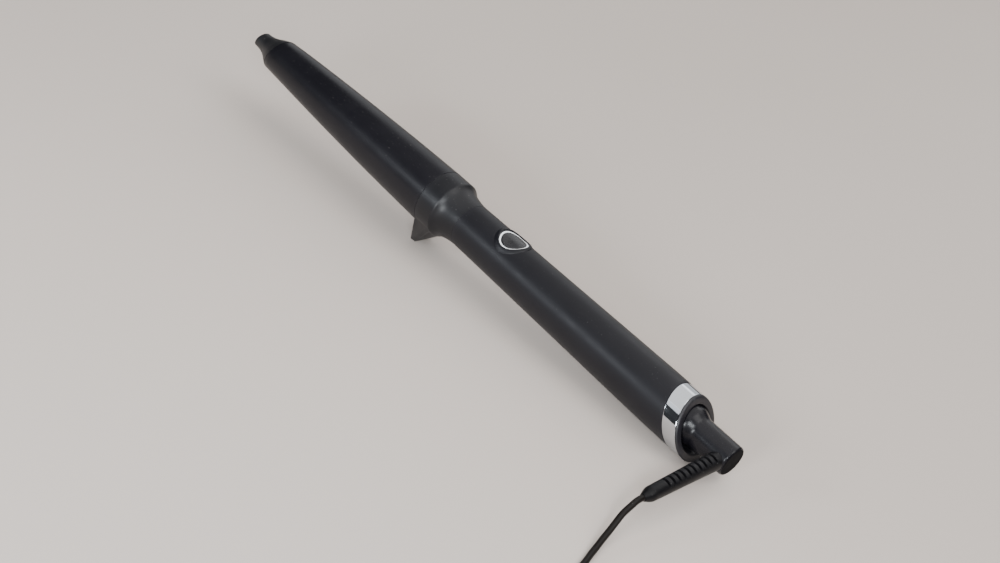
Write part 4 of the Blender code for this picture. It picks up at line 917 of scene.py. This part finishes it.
dress(stand_collar, collar_plastic)
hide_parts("stand_collar")
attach(stand_collar, "wand")


# Barrel
# Tapered aluminium tube with a satin black ceramic coat, cut aslant at the tip. A thinner spigot
# goes into the collar. The coat has a very fine grain and hair-fine scratches from use.
barrel_length = 0.1314
barrel_wall = 0.0020
barrel_taper = 0.3725
even_share = 0.4875
tip_slant = math.radians(-15.9)
spigot_radius = 0.0129
spigot_bore = 0.0109
spigot_length = 0.0080
cut_edge = 0.00009


def barrel_radius(x):
    """Outer radius of the barrel, which narrows more and more towards its tip."""
    share = -x / barrel_length
    return barrel_base * (1 - barrel_taper * (even_share * share + (1 - even_share) * share ** 2))


def barrel_lean(x):
    """Lean of the barrel's rings: none over most of its length, full at the tip's cut."""
    return tip_slant * max(0.0, (-x / barrel_length - 0.9) / 0.1)


tip_base = barrel_radius(-barrel_length)
barrel_rings = [(-barrel_length, tip_base - barrel_wall, tip_slant),
                (-barrel_length, tip_base - 0.0003, tip_slant),
                (-barrel_length + cut_edge, tip_base - cut_edge, tip_slant)]
for step in range(49):
    share = 1 - step / 48
    x = -2 * seam - (barrel_length - 0.00054) * share
    barrel_rings.append((x, barrel_radius(x), barrel_lean(x)))
barrel_rings += [(-seam, barrel_base - seam), (-seam, spigot_radius), (spigot_length, spigot_radius),
                 (spigot_length, spigot_bore), (-spigot_length, spigot_bore)]
barrel_rings += [(x, barrel_radius(x) - barrel_wall) for x in (-0.0210, -0.0841, -0.1183)]
barrel = turn("barrel_tube", barrel_rings, sides=160, closed=True)
put(barrel, wand_place)
ceramic_coat = new_finish(
    "ceramic_coat", (0.0050, 0.0048, 0.0068), (0.0070, 0.0066, 0.0092), (0.38, 0.30),
    grain=(4200, 30, 50), relief=0.00002, bump=0.3, dust=0.4, edge=0.4,
    edge_colour=(0.06, 0.06, 0.065), specular=0.24)
dress(barrel, ceramic_coat)
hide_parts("barrel")
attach(barrel, "wand")


# Cool tip
# Heat-proof black moulding that plugs the barrel's end: a hollow-sided cone to a slanted flat end
# that fingers can hold. Its plug is pushed into the barrel.
tip_start = -barrel_length - 0.00015
tip_end = -barrel_length - 0.0164
tip_neck = 0.0045
tip_rounding = 0.0009
tip_plug_end = -0.1194
plug_room = barrel_wall + clearance
end_lean = tip_slant * 1.2
tip_rings = [(tip_plug_end, barrel_radius(tip_plug_end) - plug_room),
             (tip_start + 0.0003, tip_base - plug_room, tip_slant)]
tip_line = smooth_route([(0.0, 0.98, 1.0), (0.16, 0.76, 0.85), (0.32, 0.5, 0.75), (0.47, 0.28, 0.75),
                         (0.62, 0.13, 0.85), (0.76, 0.05, 1.0), (0.88, 0.01, 1.1)], 0.05)
for spot in tip_line:
    tip_rings.append((tip_start + (tip_end - tip_start) * spot.x, tip_neck + (tip_base - tip_neck) * spot.y,
                      tip_slant * spot.z))
tip_rings += rounding(tip_end, tip_neck, tip_rounding, end_lean, steps=7, lead=-1)
tip_rings += [(tip_end, 0.0026, end_lean), (tip_end, 0.0012, end_lean)]
cool_tip = turn("cool_tip_moulding", tip_rings)
put(cool_tip, wand_place)
tip_plastic = new_finish(
    "tip_plastic", (0.0050, 0.0050, 0.0060), (0.0075, 0.0075, 0.0090), (0.50, 0.42),
    grain=(2200, 90, 120), relief=0.00004, bump=0.45, edge=0.6, edge_colour=(0.04, 0.04, 0.045))
dress(cool_tip, tip_plastic)
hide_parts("cool_tip")
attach(cool_tip, "wand")


# Heater
# Fired ceramic strip between two half-round aluminium extrusions that carry its heat to the barrel.
# A sensor and a fuse sit at its ends, a washer shields the collar, and two leads in woven glass
# sleeves run to the board.
extruded_aluminium = new_finish(
    "extruded_aluminium", (0.66, 0.66, 0.68), (0.76, 0.76, 0.78), (0.28, 0.44),
    grain=(900, 120, 200), bump=0.3, dust=0.2, edge=0.3, edge_colour=(0.85, 0.85, 0.87),
    metallic=1.0)
fired_ceramic = new_finish(
    "fired_ceramic", (0.74, 0.71, 0.64), (0.84, 0.82, 0.77), (0.55, 0.68),
    grain=(1800, 260, 200), bump=0.4, dust=0.2, edge=0.3, edge_colour=(0.60, 0.56, 0.50))
sensor_glass = new_finish(
    "sensor_glass", (0.30, 0.12, 0.06), (0.42, 0.18, 0.08), (0.12, 0.22),
    grain=(900, 700, 400), relief=0.00001, bump=0.2, dust=0.1)
glass_sleeve = new_finish(
    "woven_glass_sleeve", (0.62, 0.60, 0.56), (0.78, 0.76, 0.72), (0.55, 0.66),
    grain=(3000, 400, 300), relief=0.00005, bump=0.5, dust=0.1)


def weave(material, angles, per_metre, wander, direction, strength, depth):
    """Lay raised threads over a finish, one set for each angle about the Z axis."""
    tree = material.node_tree
    place = add_node(tree, "TexCoord", "Object")
    height = 0.0
    for angle in angles:
        turned = add_node(tree, "Mapping", "Vector", Vector=place, Rotation=(0.0, 0.0, angle))
        threads = add_node(tree, "TexWave", "Fac", bands_direction=direction, Vector=turned,
                           Scale=per_metre, Distortion=wander)
        height = calculate(tree, "MAXIMUM", threads, height)
    raised = add_node(tree, "Bump", "Normal", Strength=strength, Distance=depth, Height=height)
    set_node(tree.nodes["Principled BSDF"], Normal=raised)


def recoat(finish, *names):
    """Give CAD pieces a finish. Their shapes are the CAD's own."""
    for name in names:
        cad_nodes[name].material_slots[0].material = finish


plait = math.radians(40)
weave(glass_sleeve, (plait, -plait), per_metre=480.0, wander=0.6, direction="X", strength=0.7, depth=0.0001)
recoat(fired_ceramic, "heater_strip", "heat_washer", "thermal_fuse")
recoat(extruded_aluminium, "heat_spreader_upper", "heat_spreader_lower")
recoat(sensor_glass, "temperature_sensor")
recoat(glass_sleeve, "heater_lead_left", "heater_lead_right")


# Circuit board and its parts
# A glass-epoxy board with a green mask over copper tracks, pressed into a black moulded tray. On it
# sit the push switch, the ring's lamp, a controller, a triac, two capacitors and a wound choke.
green_mask = new_finish(
    "green_solder_mask", (0.010, 0.085, 0.038), (0.016, 0.120, 0.055), (0.30, 0.40),
    grain=(1500, 150, 160), relief=0.00002, dust=0.3, edge=0.2, edge_colour=(0.35, 0.30, 0.16))
mask_tree = green_mask.node_tree
mask_shader = mask_tree.nodes["Principled BSDF"]
mask_place = add_node(mask_tree, "TexCoord", "Object")
tracks = add_node(mask_tree, "TexBrick", "Fac", Vector=mask_place, Scale=220.0, Mortar_Size=0.035,
                  Brick_Width=0.9, Row_Height=0.22)
bare_green = mask_shader.inputs["Base Color"].links[0].from_socket
tracked_green = mix_colours(mask_tree, tracks, bare_green, (0.040, 0.200, 0.085))
set_node(mask_shader, Base_Color=tracked_green)
tray_plastic = new_finish(
    "tray_plastic", (0.0120, 0.0120, 0.0125), (0.0180, 0.0180, 0.0190), (0.48, 0.40),
    grain=(1800, 120, 120), relief=0.00002, dust=0.4, edge=0.4)
package_epoxy = new_finish(
    "package_epoxy", (0.0100, 0.0100, 0.0105), (0.0160, 0.0160, 0.0165), (0.50, 0.62),
    grain=(3500, 300, 300), relief=0.00002, dust=0.3, edge=0.5)
blue_dip = new_finish(
    "blue_dip_coat", (0.020, 0.060, 0.220), (0.035, 0.090, 0.300), (0.20, 0.30),
    grain=(700, 260, 300), dust=0.3, edge=0.4, edge_colour=(0.10, 0.18, 0.42))
nickel_steel = new_finish(
    "nickel_steel", (0.55, 0.55, 0.57), (0.66, 0.66, 0.68), (0.20, 0.34),
    grain=(1200, 300, 260), relief=0.00001, bump=0.2, dust=0.1, edge=0.3,
    edge_colour=(0.78, 0.78, 0.80), metallic=1.0)
recoat(green_mask, "circuit_board")
recoat(tray_plastic, "circuit_tray")
recoat(package_epoxy, "button_switch", "controller_chip", "heater_triac", "buffer_capacitor")
recoat(blue_dip, "filter_capacitor")
recoat(milky_white, "ring_lamp")
recoat(nickel_steel, "switch_plunger", "mains_choke")


# Swivel's contacts
# A spring clip keeps the rotor in the cap. Mains passes to it by a brass slip ring and a centre pin,
# which turn, and two flat brass brushes on a fixed block, from which two leads run to the board.
bare_brass = new_finish(
    "bare_brass", (0.62, 0.44, 0.17), (0.74, 0.56, 0.26), (0.24, 0.42),
    grain=(1000, 420, 300), relief=0.00001, bump=0.25, dust=0.1, edge=0.4,
    edge_colour=(0.86, 0.70, 0.38), metallic=1.0)
recoat(nickel_steel, "swivel_clip")
recoat(bare_brass, "slip_ring", "centre_contact", "ring_brush", "centre_brush")
recoat(tray_plastic, "contact_block")
recoat(glass_sleeve, "mains_lead_left", "mains_lead_right")


# Coil's tie
# A flat woven strap with a hooked face, 6 mm wide, closed round the bundle of turns. The bundle
# rests on it. Its threads run across the strap.
strap_weave = new_finish(
    "strap_weave", (0.0060, 0.0060, 0.0066), (0.0120, 0.0120, 0.0130), (0.70, 0.80),
    grain=(2600, 300, 200), relief=0.00006, bump=0.7, dust=0.6, specular=0.25)
weave(strap_weave, (-coil_start - math.pi / 2,), per_metre=700.0, wander=1.2, direction="Y", strength=0.6,
      depth=0.00012)
recoat(strap_weave, "coil_tie")


# Mains plug
# Flat two-pin plug moulded onto the cord in black plastic, with a ribbed relief of its own. Its pins
# are nickel-plated brass, in black sleeves over the half next to the plug.
plug_relief_length = 0.0220
plug_body_length = 0.0363
pin_length = 0.0190
sleeve_share = 0.53
sleeve_blur = 0.00004
sleeve_black = (0.0060, 0.0060, 0.0065)
plug_plastic = new_finish(
    "plug_plastic", (0.0048, 0.0047, 0.0052), (0.0070, 0.0068, 0.0074), (0.44, 0.34),
    grain=(1900, 70, 90), specular=0.32)
sleeved_pin = new_finish(
    "sleeved_pin", (0.55, 0.54, 0.52), (0.66, 0.65, 0.63), (0.20, 0.34),
    grain=(1200, 300, 260), relief=0.00001, bump=0.2, dust=0.1, metallic=1.0)
pin_tree = sleeved_pin.node_tree
pin_shader = pin_tree.nodes["Principled BSDF"]
pin_along = add_node(pin_tree, "VectorMath", operation="DOT_PRODUCT")
set_socket(pin_along.inputs[0], add_node(pin_tree, "TexCoord", "Object"))
set_socket(pin_along.inputs[1], plug_heading)
pin_reach = pin_along.outputs["Value"]
sleeve_reach = plug_relief_length + plug_body_length + pin_length * sleeve_share
bare_start = plug_entry.dot(plug_heading) + sleeve_reach
bare_share = ramp_value(pin_tree, pin_reach, bare_start - sleeve_blur, bare_start + sleeve_blur)
bare_metal = pin_shader.inputs["Base Color"].links[0].from_socket
set_node(pin_shader, Base_Color=mix_colours(pin_tree, bare_share, sleeve_black, bare_metal),
         Metallic=bare_share)
recoat(plug_plastic, "plug_body")
recoat(sleeved_pin, "plug_pin_left", "plug_pin_right")
recoat(relief_rubber, "plug_relief")
